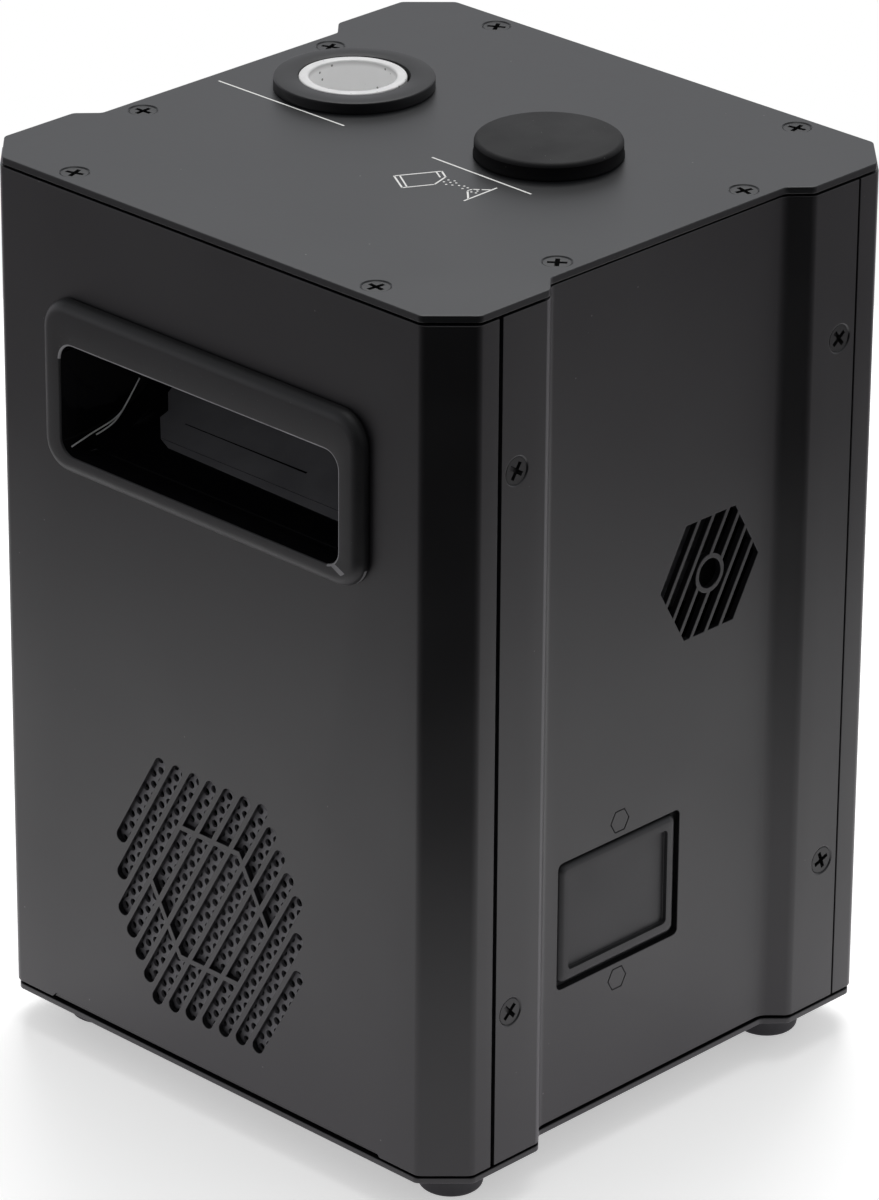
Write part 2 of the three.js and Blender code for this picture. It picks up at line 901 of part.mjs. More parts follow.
function makeRightPanel() {
  const opening = roundedRect(
    reader.openingWidth, reader.openingHeight, reader.openingRadius, readerY, readerZ,
  );
  const studs = [-1, 1].map((side) => rod(
    'x', reader.studRadius, innerRecessX - reader.studLength, innerRecessX + embed,
    [0, readerY, readerZ + (side * reader.studSpacing) / 2],
  ));
  const sheet = cut(
    sideSheet(),
    sideVentCutter(),
    prism(opening, 'x', innerRecessX - overrun, recessX + overrun),
  );
  return join(sheet, ...studs);
}

function makeLeftPanel() {
  const mirrorPlace = new THREE.Matrix4().makeRotationZ(Math.PI);
  const ventPlace = new THREE.Matrix4().makeTranslation(0, -2 * sideVentY, 0);
  const opened = cut(sideSheet(), turnedForm(sideVentCutter(), ventPlace));
  return turnedForm(opened, mirrorPlace);
}

function makeHandleBezel() {
  const front = -faceY - handle.proud;
  const back = -faceY - seat;
  const outline = roundedRect(handle.width, handle.height, handle.cornerRadius, 0, handleZ);
  const body = prism(outline, 'y', front, front + handle.proud + 2 * handle.edge, handle.edge);
  const keepAway = block(-handle.width, handle.width, back, back + handle.width,
    handleZ - handle.height, handleZ + handle.height);
  const opening = (grow) => roundedRect(
    handle.openingWidth + 2 * grow, handle.openingHeight + 2 * grow, handle.openingRadius + grow, 0, openingZ,
  );
  const spigot = prism(opening(handle.spigotWall), 'y', back - embed, -innerFaceY);
  const lip = prism(
    opening(handle.lip), 'y', front - 2 * handle.lip, front + handle.lip, handle.lip - mergeReach,
  );
  return cut(
    join(cut(body, keepAway), spigot),
    prism(opening(0), 'y', front - overrun, -innerFaceY + overrun),
    lip,
  );
}

const pocketFront = -innerFaceY + seat;

// The scoop seen from the side: a curved floor that rises into a flat back and a roof
function scoopOutline(grow, front) {
  const back = pocketFront + pocket.depth + grow;
  const floor = openingZ - handle.openingHeight / 2 - grow;
  const roof = openingZ + handle.openingHeight / 2 + pocket.roof + grow;
  const radius = pocket.scoopRadius + grow;
  const sweep = Math.asin((back - pocketFront) / radius);
  const turn = pocket.backRadius;
  const shape = new THREE.Shape();
  shape.moveTo(front, floor);
  shape.absarc(pocketFront, floor + radius, radius, -Math.PI / 2, -Math.PI / 2 + sweep);
  shape.absarc(back - turn, roof - turn, turn, 0, Math.PI / 2);
  shape.lineTo(front, roof);
  shape.closePath();
  return shape;
}

function makeHandlePocket() {
  const half = handle.openingWidth / 2;
  const wall = pocket.wall;
  const outer = prism(scoopOutline(wall, pocketFront), 'x', -half - wall, half + wall, 0, 8);
  const inner = prism(scoopOutline(0, pocketFront + wall), 'x', -half, half, 0, 8);
  const rimHeight = handle.openingHeight + pocket.roof + 2 * pocket.rim;
  const rimShape = roundedRect(
    handle.openingWidth + 2 * pocket.rim, rimHeight, handle.openingRadius, 0, openingZ + pocket.roof / 2,
  );
  const rim = prism(rimShape, 'y', pocketFront, pocketFront + wall);
  const mouth = roundedRect(
    handle.openingWidth, handle.openingHeight, handle.openingRadius, 0, openingZ,
  );
  return cut(join(outer, rim), inner, prism(mouth, 'y', pocketFront - overrun, pocketFront + 2 * wall));
}

// Card reader: a moulded face that looks out through the side sheet, and its board
function makeReaderWindow() {
  const flangeTop = innerRecessX - seat;
  const flangeLow = flangeTop - reader.flangeThickness;
  const face = recessX + reader.proud;
  const [y, z] = [readerY, readerZ];
  const faceShape = roundedRect(
    reader.openingWidth - 2 * reader.gap, reader.openingHeight - 2 * reader.gap, reader.openingRadius, y, z,
  );
  const body = prism(faceShape, 'x', face - reader.faceDepth, face, reader.edge);
  const behind = block(0, flangeLow, y - reader.flangeWidth, y + reader.flangeWidth,
    z - readerHeight, z + readerHeight);
  const flange = prism(
    roundedRect(reader.flangeWidth, readerHeight, reader.openingRadius, y, z),
    'x', flangeLow, flangeTop,
  );
  const pad = prism(
    roundedRect(reader.padWidth, reader.padHeight, reader.padRadius, y, z),
    'x', face - reader.padDepth, face + overrun,
  );
  const studHoles = [-1, 1].map((side) => rod(
    'x', reader.studRadius + seat, flangeLow - overrun, flangeTop + overrun,
    [0, y, z + (side * reader.studSpacing) / 2],
  ));
  return cut(join(cut(body, behind), flange), pad, ...studHoles);
}

function makeReaderBoard() {
  const high = innerRecessX - 2 * seat - reader.flangeThickness;
  const low = high - boardThickness;
  const [y, z] = [readerY, readerZ];
  const [w, h] = [reader.boardWidth / 2, reader.boardHeight / 2];
  const chip = reader.chipSize / 2;
  const chipLow = low - reader.chipHeight;
  return join(
    block(low, high, y - w, y + w, z - h, z + h),
    block(chipLow, low + embed, y - chip, y + chip, z - chip, z + chip),
    block(chipLow, low + embed, y + w - chip, y + w, z - h, z),
  );
}

// Nozzle: a ring on the top plate round a ceramic tube
function makeNozzleFlange() {
  const top = nozzle.flangeHeight;
  const edge = nozzle.flangeEdge;
  return turnedRing([
    [nozzle.bore, -nozzle.spigotDepth],
    [nozzle.spigotRadius, -nozzle.spigotDepth],
    [nozzle.spigotRadius, rest],
    [nozzle.flangeRadius, rest],
    [nozzle.flangeRadius, top - edge],
    [nozzle.flangeRadius - edge, top],
    [nozzle.bore, top],
  ]);
}

function makeNozzleTube() {
  const top = nozzle.flangeHeight;
  const [edge, low] = [nozzle.tubeEdge, top - nozzle.tubeLength];
  return turnedRing([
    [nozzle.tubeInner, low],
    [nozzle.tubeOuter, low],
    [nozzle.tubeOuter, top - edge],
    [nozzle.tubeOuter - edge, top],
    [nozzle.tubeInner + edge, top],
    [nozzle.tubeInner, top - edge],
  ]);
}

const tubeBottom = plateTop + nozzle.flangeHeight - nozzle.tubeLength;
const chamberTop = tubeBottom + chamber.socketDepth;

function makeHeatingChamber() {
  const socket = nozzle.tubeOuter + seat;
  const floor = tubeBottom - seat;
  const body = turnedRing([
    [chamber.inner, chamberZ],
    [chamber.flangeRadius, chamberZ],
    [chamber.flangeRadius, chamberZ + chamber.flangeHeight],
    [chamber.outer, chamberZ + chamber.flangeHeight],
    [chamber.outer, chamberTop],
    [socket, chamberTop],
    [socket, floor],
    [chamber.inner, floor],
  ]);
  return cut(body, rod('x', chamber.inletRadius, 0, chamber.outer + overrun, [0, 0, feederZ]));
}

// A clamped band heater above the powder inlet
function makeHeaterBand() {
  const low = feederZ + feeder.tubeOuter + seat;
  const high = low + heater.length;
  const inner = chamber.outer + seat;
  const band = turnedRing([[inner, low], [heater.outer, low], [heater.outer, high], [inner, high]]);
  const reach = heater.outer + heater.clampReach;
  const half = heater.clampWidth / 2;
  const ears = block(-half, half, -reach, -heater.outer + embed, low, low + heater.clampThickness);
  const slit = block(-heater.slit / 2, heater.slit / 2, -reach - overrun, -inner + overrun,
    low - overrun, high + overrun);
  return cut(join(band, ears), slit);
}

function makeHeatShield() {
  const low = chamberZ + seat;
  const high = feederZ + feeder.tubeOuter + heater.length + shield.above;
  const inner = shield.outer - shield.wall;
  const foot0 = chamber.flangeRadius + seat;
  const step = low + chamber.flangeHeight + shield.wall;
  const tube = turnedRing([
    [foot0, low],
    [shield.outer, low],
    [shield.outer, high],
    [inner, high],
    [inner, step],
    [foot0, step],
  ]);
  const notch = feeder.tubeOuter + 2 * seat;
  const slot = block(0, shield.outer + overrun, -notch, notch, low - overrun,
    feederZ + feeder.tubeOuter + seat);
  return cut(tube, slot);
}

// Powder hopper: neck in the top plate, round body, cone and throat
const hopperTop = plateTop - seat;
const hopperShoulder = plateBottom - seat - hopper.flangeHeight;
const hopperThroat = feederZ + feeder.saddleRise + seat;

function makeHopper() {
  const body = hopper.bodyRadius;
  const wall = hopper.wall;
  const bodyTop = hopperShoulder - hopper.shoulderDrop;
  const coneTop = bodyTop - hopper.bodyHeight;
  const coneLow = coneTop - hopper.coneHeight;
  const throat = hopper.throatOuter;
  return turnedRing([
    [hopper.neckOuter, hopperTop],
    [hopper.neckOuter, plateBottom - seat],
    [hopper.flangeRadius, plateBottom - seat],
    [hopper.flangeRadius, hopperShoulder],
    [body, bodyTop],
    [body, coneTop],
    [throat, coneLow],
    [throat, hopperThroat],
    [throat - wall, hopperThroat],
    [throat - wall, coneLow + wall],
    [body - wall, coneTop + wall],
    [body - wall, bodyTop - wall],
    [hopper.neckInner, hopperShoulder - wall],
    [hopper.neckInner, hopperTop],
  ].reverse());
}

function makeHopperCap() {
  const low = rest;
  const plug = -cap.plugDepth;
  const rib = plug + cap.ribRise;
  return turned([
    [0, cap.height],
    [cap.radius - cap.edge, cap.height],
    [cap.radius, cap.height - cap.edge],
    [cap.radius, cap.lipHeight],
    [cap.lipRadius, cap.lipHeight - seat],
    [cap.lipRadius, low],
    [cap.plugRadius, low],
    [cap.plugRadius, rib + cap.ribHeight],
    [cap.ribRadius, rib + cap.ribHeight / 2],
    [cap.plugRadius, rib],
    [cap.plugRadius, plug],
    [cap.hollowRadius, plug],
    [cap.hollowRadius, plug + cap.hollowDepth],
    [0, plug + cap.hollowDepth],
  ].reverse());
}

// Screw feeder: a level tube under the hopper that ends at the chamber's wall
function makeFeedTube() {
  const start = nozzleX + chamber.outer + seat;
  const z = feederZ;
  const tube = rod('x', feeder.tubeOuter, start, feedEnd, [0, feedLineY, z], round);
  const half = feeder.saddleWidth / 2;
  const saddleTop = z + feeder.saddleRise;
  const saddle = block(hopperX - half, hopperX + half, feedLineY - half, feedLineY + half, z, saddleTop);
  const flangeLow = feedEnd - feeder.flangeThickness;
  const flange = rod('x', feeder.flangeRadius, flangeLow, feedEnd, [0, feedLineY, z], round);
  return cut(
    join(tube, saddle, flange),
    rod('x', feeder.tubeInner, start - overrun, feedEnd + overrun, [0, feedLineY, z], round),
    rod('z', feeder.mouthRadius, z, saddleTop + overrun, [hopperX, feedLineY, 0], round),
  );
}

// The feed screw's section turns as it runs along x: a round shaft with one flight standing on it
function makeAuger() {
  const start = nozzleX + chamber.outer + 2 * seat;
  const end = feedEnd;
  const angles = [-auger.crestAngle, auger.crestAngle];
  for (let i = 0; i <= auger.shaftSides; i += 1) {
    angles.push(auger.footAngle + ((2 * Math.PI - 2 * auger.footAngle) * i) / auger.shaftSides);
  }
  const plain = (x, turn, radius) => angles.map((angle) => [x, radius, angle + turn]);
  const rings = [plain(start, 0, auger.shaftRadius)];
  const room = end - auger.driveLength - start - 2 * auger.lead;
  const steps = Math.floor((room / auger.pitch) * auger.stepsPerTurn);
  for (let i = 0; i <= steps; i += 1) {
    const share = i / auger.stepsPerTurn;
    const section = plain(start + auger.lead + share * auger.pitch, 2 * Math.PI * share, auger.shaftRadius);
    section[0][1] = auger.radius;
    section[1][1] = auger.radius;
    rings.push(section);
  }
  const lastTurn = (2 * Math.PI * steps) / auger.stepsPerTurn;
  rings.push(plain(end - auger.driveLength, lastTurn, auger.shaftRadius));
  rings.push(plain(end - auger.driveLength, lastTurn, auger.driveRadius));
  rings.push(plain(end + auger.driveLength, lastTurn, auger.driveRadius));
  const count = angles.length;
  const positions = rings.flat().flatMap(([x, r, angle]) => [x, r * Math.cos(angle), r * Math.sin(angle)]);
  const faces = [];
  for (let i = 0; i < rings.length - 1; i += 1) {
    for (let k = 0; k < count; k += 1) {
      const [a, b] = [i * count + k, i * count + ((k + 1) % count)];
      faces.push(a, b, b + count, a, b + count, a + count);
    }
  }
  const centre = positions.length / 3;
  positions.push(start, 0, 0, end + auger.driveLength, 0, 0);
  const last = (rings.length - 1) * count;
  for (let k = 0; k < count; k += 1) {
    const next = (k + 1) % count;
    faces.push(centre, next, k, centre + 1, last + k, last + next);
  }
  const wound = new THREE.BufferGeometry();
  wound.setAttribute('position', new THREE.Float32BufferAttribute(positions, 3));
  wound.setIndex(faces);
  return wound;
}

// Worm gear motor: the box takes the screw's end and the motor lies across it, towards the front
function makeGearmotor() {
  const start = feedEnd + seat;
  const [w, h] = [gearmotor.boxWidth, gearmotor.boxHeight];
  const box = prism(roundedRect(w, h, gearmotor.boxRadius, gearmotor.boxShift, 0), 'x', start,
    start + gearmotor.boxDepth);
  const boxFront = gearmotor.boxShift - w / 2;
  const at = [start + gearmotor.boxDepth / 2, 0, -gearmotor.canDrop];
  const canEnd = boxFront - gearmotor.canLength;
  return cut(
    join(
      box,
      rod('y', gearmotor.canRadius, canEnd, boxFront + embed, at, round),
      rod('y', gearmotor.capRadius, canEnd - gearmotor.capLength, canEnd + embed, at),
    ),
    rod('x', gearmotor.boreRadius, start - overrun, start + auger.driveLength + seat),
  );
}

// Blower: a spiral housing that opens upwards, seen along the impeller's axis
function voluteRadius(angle) {
  return blower.tongueRadius + ((blower.endRadius - blower.tongueRadius) * angle) / blower.sweep;
}

const blowerOutletX = blower.endRadius - blower.outletWidth / 2;
const blowerX = nozzleX + blowerOutletX;
const blowerZ = baseTop + seat + voluteRadius(blower.sweep - Math.PI / 2);

function voluteOutline(inset, top) {
  const points = [];
  const first = Math.PI + blower.sweep;
  for (let i = 0; i <= blower.steps; i += 1) {
    const angle = (blower.sweep * i) / blower.steps;
    const radius = voluteRadius(angle) - inset;
    points.push([radius * Math.cos(first - angle), radius * Math.sin(first - angle)]);
  }
  const left = -blower.endRadius + inset;
  const right = -blower.endRadius + blower.outletWidth - inset;
  points.push([left, top], [right, top]);
  return pointsShape(points.reverse());
}

function makeBlowerHousing() {
  const half = blower.depth / 2;
  const top = chamberZ - seat - blowerZ;
  const shell = prism(voluteOutline(0, top), 'y', -half, half);
  const air = prism(voluteOutline(blower.wall, top + overrun), 'y', -half + blower.wall, half - blower.wall);
  const impellerLow = -impeller.height / 2 - seat;
  const floor = -half + blower.wall - embed;
  return join(
    cut(shell, air, rod('y', blower.inletRadius, 0, half + overrun, [0, 0, 0], round)),
    rod('y', blower.bossRadius, floor, impellerLow),
    rod('y', blower.pinRadius, floor, impellerLow + blower.pinLength),
  );
}

function makeImpeller() {
  const half = impeller.height / 2;
  const backLow = -half;
  const disc = rod('y', impeller.radius, backLow, backLow + impeller.disc, [0, 0, 0], round);
  const hub = rod('y', impeller.hubRadius, backLow, backLow + impeller.hubHeight, [0, 0, 0], smallRound);
  const ring = cut(
    rod('y', impeller.radius, half - impeller.ringHeight, half, [0, 0, 0], round),
    rod('y', impeller.bladeInner, -half, half + overrun, [0, 0, 0], round),
  );
  const blades = [];
  const [r0, r1] = [impeller.bladeInner + embed, impeller.radius - embed];
  for (let i = 0; i < impeller.blades; i += 1) {
    const angle = (2 * Math.PI * i) / impeller.blades;
    const thin = impeller.bladeThickness / 2;
    const lean = impeller.bladeLean;
    const at = (r, turn, off) => [
      r * Math.cos(angle + turn) - off * Math.sin(angle + turn),
      r * Math.sin(angle + turn) + off * Math.cos(angle + turn),
    ];
    const blade = pointsShape([at(r0, 0, -thin), at(r1, lean, -thin), at(r1, lean, thin), at(r0, 0, thin)]);
    blades.push(prism(blade, 'y', backLow + impeller.disc / 2, half - impeller.ringHeight / 2));
  }
  const bore = rod('y', blower.pinRadius + seat, backLow - overrun, backLow + blower.pinLength);
  return cut(join(disc, hub, ring, ...blades), bore);
}

// Cooling fan behind the intake
const meshFront = -innerFaceY + seat;
const fanFront = meshFront + mesh.thickness + seat;

function makeVentMesh() {
  return prism(rect(mesh.width, mesh.height, vent.centreX, ventZ), 'y', meshFront,
    meshFront + mesh.thickness);
}

function makeFanFrame() {
  const half = fan.size / 2;
  const [front, back] = [0, fan.depth];
  const frame = prism(roundedRect(fan.size, fan.size, fan.cornerRadius), 'y', front, back);
  const bore = rod('y', fan.boreRadius, front - overrun, back + overrun, [0, 0, 0], round);
  const holes = corners.map(([x, z]) => rod(
    'y', fan.holeRadius, front - overrun, back + overrun,
    [(x * fan.holeSpacing) / 2, 0, (z * fan.holeSpacing) / 2], boltRound,
  ));
  const struts = [];
  for (let i = 0; i < fan.struts; i += 1) {
    const strut = block(-fan.strutWidth / 2, fan.strutWidth / 2, back - fan.strutDepth, back, 0, half);
    struts.push(strut.rotateY(Math.PI / fan.struts + (2 * Math.PI * i) / fan.struts));
  }
  const within = rod('y', fan.boreRadius + embed, front, back, [0, 0, 0], round);
  const hubPlate = rod('y', fan.hubRadius, back - fan.strutDepth, back, [0, 0, 0], round);
  const pinLow = back - fan.strutDepth - fan.pinLength;
  const pin = rod('y', fan.pinRadius, pinLow, back - embed);
  return join(cut(frame, bore, ...holes), overlap(join(hubPlate, ...struts), within), pin);
}

function makeFanRotor() {
  const low = fan.rotorGap;
  const high = fan.depth - fan.strutDepth - fan.rotorGap;
  const hub = rod('y', fan.hubRadius, low, high, [0, 0, 0], round);
  const chord = fan.bladeChord / 2;
  const blades = [];
  for (let i = 0; i < fan.blades; i += 1) {
    const section = new THREE.Shape();
    section.moveTo(-chord, 0);
    section.quadraticCurveTo(0, fan.bladeCamber, chord, 0);
    section.lineTo(chord, fan.bladeThickness);
    section.quadraticCurveTo(0, fan.bladeCamber + fan.bladeThickness, -chord, fan.bladeThickness);
    const blade = prism(section, 'x', fan.hubRadius - fan.bladeThickness, fan.boreRadius, 0, arcSteps);
    blade.rotateX(fan.bladePitch).translate(0, (low + high) / 2, 0);
    blades.push(blade.rotateY((2 * Math.PI * i) / fan.blades));
  }
  const swept = rod('y', fan.bladeRadius, low, high, [0, 0, 0], round);
  const pinLow = fan.depth - fan.strutDepth - fan.pinLength - seat;
  const bore = rod('y', fan.pinRadius + seat, pinLow, fan.depth);
  return cut(overlap(join(hub, ...blades), swept), bore);
}

// Rear display, keys and their board
function makeDisplayWindow() {
  const inside = innerFaceY - seat;
  const [w, h] = [display.width, display.height];
  const lens = prism(rect(w, h, 0, displayZ), 'y', inside - embed, faceY + seat);
  const flange = prism(
    roundedRect(w + 2 * display.flange, h + 2 * display.flange, display.radius, 0, displayZ),
    'y', inside - display.flangeThickness, inside,
  );
  return join(lens, flange);
}

function makeKey() {
  const collar = innerFaceY - seat;
  const tip = faceY + keys.proud;
  const low = collar - keys.collarThickness;
  return turned([
    [0, low - keys.stemLength],
    [keys.stemRadius, low - keys.stemLength],
    [keys.stemRadius, low],
    [keys.collarRadius, low],
    [keys.collarRadius, collar],
    [keys.radius, collar],
    [keys.radius, tip - keys.edge],
    [keys.radius - keys.edge, tip],
    [0, tip],
  ], smallRound).rotateX(-Math.PI / 2);
}

function makeControlBoard() {
  const front = innerFaceY - controlBoard.setBack;
  const [w, h] = [controlBoard.width / 2, controlBoard.height / 2];
  const z = controlZ;
  const reach = front - embed;
  const parts = [block(-w, w, front - boardThickness, front, z - h, z + h)];
  const [mw, mh] = [controlBoard.moduleWidth / 2, controlBoard.moduleHeight / 2];
  parts.push(block(-mw, mw, reach, front + controlBoard.moduleDepth, displayZ - mh,
    displayZ + mh));
  const half = controlBoard.switchSize / 2;
  for (let i = 0; i < keys.count; i += 1) {
    parts.push(block(keyX(i) - half, keyX(i) + half, reach, front + controlBoard.switchHeight,
      keysZ - half, keysZ + half));
  }
  for (const [x, s] of corners) {
    const inset = controlBoard.postInset;
    parts.push(rod('y', controlBoard.postRadius, reach, innerFaceY - seat, [x * (w - inset), 0,
      z + s * (h - inset)], boltRound));
  }
  return join(...parts);
}

// Signal sockets: a round body behind a flange, with pins or with a slotted insert
function xlrBody() {
  const front = faceY + seat + xlr.flangeThickness;
  const flangeShape = roundedRect(xlr.flangeWidth, xlr.flangeHeight, xlr.flangeRadius);
  const flange = prism(flangeShape, 'y', faceY + seat, front);
  const barrel = rod('y', xlr.barrelRadius, front - xlr.barrelDepth, front - embed, [0, 0, 0], round);
  const cavity = rod('y', xlr.cavityRadius, front - xlr.cavityDepth, front + overrun, [0, 0, 0], round);
  return [cut(join(flange, barrel), cavity), front];
}

function contactPlaces() {
  return [Math.PI / 4, (3 * Math.PI) / 4, (3 * Math.PI) / 2].map((angle) => [
    xlr.pinCircle * Math.cos(angle), 0, xlr.pinCircle * Math.sin(angle),
  ]);
}

function makeSignalInput() {
  const [body, front] = xlrBody();
  const floor = front - xlr.cavityDepth - embed;
  const pins = contactPlaces().map((at) => rod(
    'y', xlr.pinRadius, floor, front - xlr.pinRecess, at, boltRound,
  ));
  return join(body, ...pins);
}

function makeSignalOutput() {
  const [body, front] = xlrBody();
  const face = front - xlr.insertRecess;
  const insert = rod('y', xlr.insertRadius, front - xlr.cavityDepth - embed, face, [0, 0, 0], round);
  const sockets = contactPlaces().map((at) => rod(
    'y', xlr.contactRadius, face - xlr.contactDepth, face + overrun, at, boltRound,
  ));
  const latchTop = xlr.flangeHeight / 2 - embed;
  const latch = block(-xlr.latchWidth / 2, xlr.latchWidth / 2, front - embed, faceY + handle.proud,
    latchTop - xlr.latchHeight, latchTop);
  return join(body, cut(insert, ...sockets), latch);
}

// Mains inlet with a fuse drawer below the socket
function inletSocketShape() {
  const [w, h] = [inlet.cavityWidth / 2, inlet.cavityHeight / 2];
  const c = inlet.cavityCut;
  return pointsShape([[-w, -h], [w, -h], [w, h - c], [w - c, h], [-w + c, h], [-w, h - c]]);
}

function makeMainsInlet() {
  const front = faceY + seat + inlet.flangeThickness;
  const back = front - inlet.bodyDepth;
  const floor = front - inlet.cavityDepth;
  const flange = prism(
    roundedRect(inlet.flangeWidth, inlet.flangeHeight, inlet.flangeRadius), 'y', faceY + seat, front,
  );
  const body = prism(rect(inlet.bodyWidth, inlet.bodyHeight), 'y', back, front - embed);
  const cavity = prism(inletSocketShape(), 'y', floor, front + overrun);
  cavity.translate(0, 0, inlet.cavityRise);
  const bay = prism(rect(drawer.width + 2 * seat, drawer.height + 2 * seat, 0, -drawer.drop), 'y',
    front - drawer.depth - seat, front + overrun);
  const side = inlet.bladeSpacing / 2;
  const places = [[-side, -inlet.bladeDrop], [side, -inlet.bladeDrop], [0, inlet.earthRise]];
  const metal = places.flatMap(([x, rise]) => {
    const z = rise + inlet.cavityRise;
    const [w, h] = [inlet.bladeWidth / 2, inlet.bladeHeight / 2];
    const tag = inlet.tagWidth / 2;
    return [
      block(x - w, x + w, floor - embed, floor + inlet.bladeLength, z - h, z + h),
      block(x - tag, x + tag, back - inlet.tagLength, back + embed, z - h, z + h),
    ];
  });
  return join(cut(join(flange, body), cavity, bay), ...metal);
}

function makeFuseDrawer() {
  const front = faceY + seat + inlet.flangeThickness;
  const [w, h] = [drawer.width / 2, drawer.height / 2];
  const z = -drawer.drop;
  const back = front - drawer.depth;
  const tray = block(-w, w, back, front, z - h, z + h);
  const room = block(-w + drawer.wall, w - drawer.wall, back + drawer.wall, front - 2 * drawer.wall,
    z - h + drawer.wall, z + h + overrun);
  const lip = block(-w / 2, w / 2, front - embed, front + drawer.lip, z + h - drawer.lipHeight, z + h);
  return join(cut(tray, room), lip);
}

// Rocker switch: a housing in the rear sheet and a lever that tilts in it
function makeRockerHousing() {
  const front = faceY + seat + rocker.flangeThickness;
  const flange = prism(
    roundedRect(rocker.flangeWidth, rocker.flangeHeight, rocker.flangeRadius), 'y', faceY + seat, front,
  );
  const body = prism(rect(rocker.bodyWidth, rocker.bodyHeight), 'y', front - rocker.bodyDepth, front - embed);
  const cavity = prism(rect(rocker.cavityWidth, rocker.cavityHeight), 'y', front - rocker.cavityDepth,
    front + overrun);
  const back = front - rocker.bodyDepth;
  const tags = [-1, 0, 1].map((side) => {
    const z = (side * rocker.bodyHeight) / 3;
    const [w, h] = [rocker.tagWidth / 2, rocker.tagThickness / 2];
    return block(-w, w, back - rocker.tagLength, back + embed, z - h, z + h);
  });
  return join(cut(join(flange, body), cavity), ...tags);
}

const rockerPivotY = faceY - rocker.pivotDepth;

function makeRocker() {
  const { halfLength: l, tipReach, dipReach, skirt, heelReach, heelHalf } = rocker;
  const outline = pointsShape([
    [dipReach, 0],
    [tipReach, l],
    [skirt, l],
    [-heelReach, heelHalf],
    [-heelReach, -heelHalf],
    [skirt, -l],
    [tipReach, -l],
  ]);
  return prism(outline, 'x', -rocker.width / 2, rocker.width / 2);
}

// Boards: a bare plate on four posts with its taller parts as shares of the plate's size
function makeMainBoard() {
  const outer = -innerRecessX + seat + mainBoard.post;
  const face = outer + boardThickness;
  const [l, h] = [recessHalf - mainBoard.margin, mainBoard.height / 2];
  const parts = [block(outer, face, -l, l, -h, h)];
  for (const [y, z] of corners) {
    parts.push(rod('x', mainBoard.postRadius, -innerRecessX + seat, outer + embed,
      [0, y * (l - mainBoard.postInset), z * (h - mainBoard.postInset)], boltRound));
  }
  const layoutShares = [
    [-0.7, -0.5, 0.2, 0.5, 0.9],
    [-0.2, -0.1, 0.18, 0.26, 0.3],
    [0.35, 0.35, 0.22, 0.2, 0.6],
    [0.7, -0.45, 0.12, 0.5, 1],
    [-0.65, 0.5, 0.24, 0.18, 0.8],
    [0.1, -0.7, 0.3, 0.12, 0.8],
  ];
  for (const [y, z, w, t, rise] of layoutShares) {
    parts.push(block(outer + embed, face + rise * mainBoard.partHeight, (y - w / 2) * l, (y + w / 2) * l,
      (z - t / 2) * h, (z + t / 2) * h));
  }
  return join(...parts);
}

function makePowerSupply() {
  const low = baseTop + seat;
  const board = low + supply.post;
  const face = board + boardThickness;
  const [w, l] = [supply.width / 2, supply.length / 2];
  const parts = [block(-w, w, -l, l, board, face)];
  for (const [x, y] of corners) {
    parts.push(rod('z', supply.postRadius, low, board + embed,
      [x * (w - supply.postInset), y * (l - supply.postInset), 0], boltRound));
  }
  const blockShares = [
    [0.05, -0.1, 0.95, 0.5, 0.9],
    [-0.75, 0.1, 0.1, 1.1, 0.95],
    [0.78, 0, 0.1, 1, 0.95],
    [0, 0.86, 1.5, 0.16, 0.45],
    [0.1, -0.86, 0.9, 0.16, 0.45],
    [0.35, 0.35, 0.4, 0.24, 0.55],
  ];
  for (const [x, y, a, b, rise] of blockShares) {
    parts.push(block((x - a / 2) * w, (x + a / 2) * w, (y - b / 2) * l, (y + b / 2) * l,
      face - embed, face + rise * supply.partHeight));
  }
  const canShares = [[-0.3, 0.42, 0.26, 0.95], [-0.25, -0.6, 0.3, 1], [0.4, -0.6, 0.22, 0.7]];
  for (const [x, y, r, rise] of canShares) {
    parts.push(rod('z', r * w, face - embed, face + rise * supply.partHeight,
      [x * w, y * l, 0], smallRound));
  }
  return join(...parts);
}

// Casing
piece('top_plate', makeTopPlate(), 'topCoat');
piece('base_plate', makeBasePlate(), 'sideCoat');
piece('front_panel', makeFrontPanel(), 'sideCoat');
piece('rear_panel', makeRearPanel(), 'sideCoat');
piece('right_side_panel', makeRightPanel(), 'sideCoat');
piece('left_side_panel', makeLeftPanel(), 'sideCoat');

const footNames = ['front_left', 'front_right', 'rear_right', 'rear_left'];
corners.forEach(([x, y], i) => {
  const place = [x * (halfWidth - foot.insetX), y * (halfDepth - foot.insetY), 0];
  piece(`foot_${footNames[i]}`, makeFoot(), 'softRubber', place);
});

topScrewPlaces.forEach(([x, y], i) => {
  piece(`top_screw_${i + 1}`, screwForm(), 'screwBlack', [x, y, plateTop - screw.sink]);
});
for (const side of [-1, 1]) {
  const name = side > 0 ? 'right' : 'left';
  sideScrewPlaces.forEach(([y, z], i) => {
    const place = [side * (stripX - screw.sink), y, z];
    piece(`${name}_side_screw_${i + 1}`, screwForm(), 'screwBlack', place, [0, (side * Math.PI) / 2, 0]);
  });
}

// Handle and card reader
piece('handle_bezel', makeHandleBezel(), 'softRubber');
piece('handle_pocket', makeHandlePocket(), 'glossBlack');
piece('card_reader_window', makeReaderWindow(), 'mouldedBlack');
piece('card_reader_board', makeReaderBoard(), 'board');

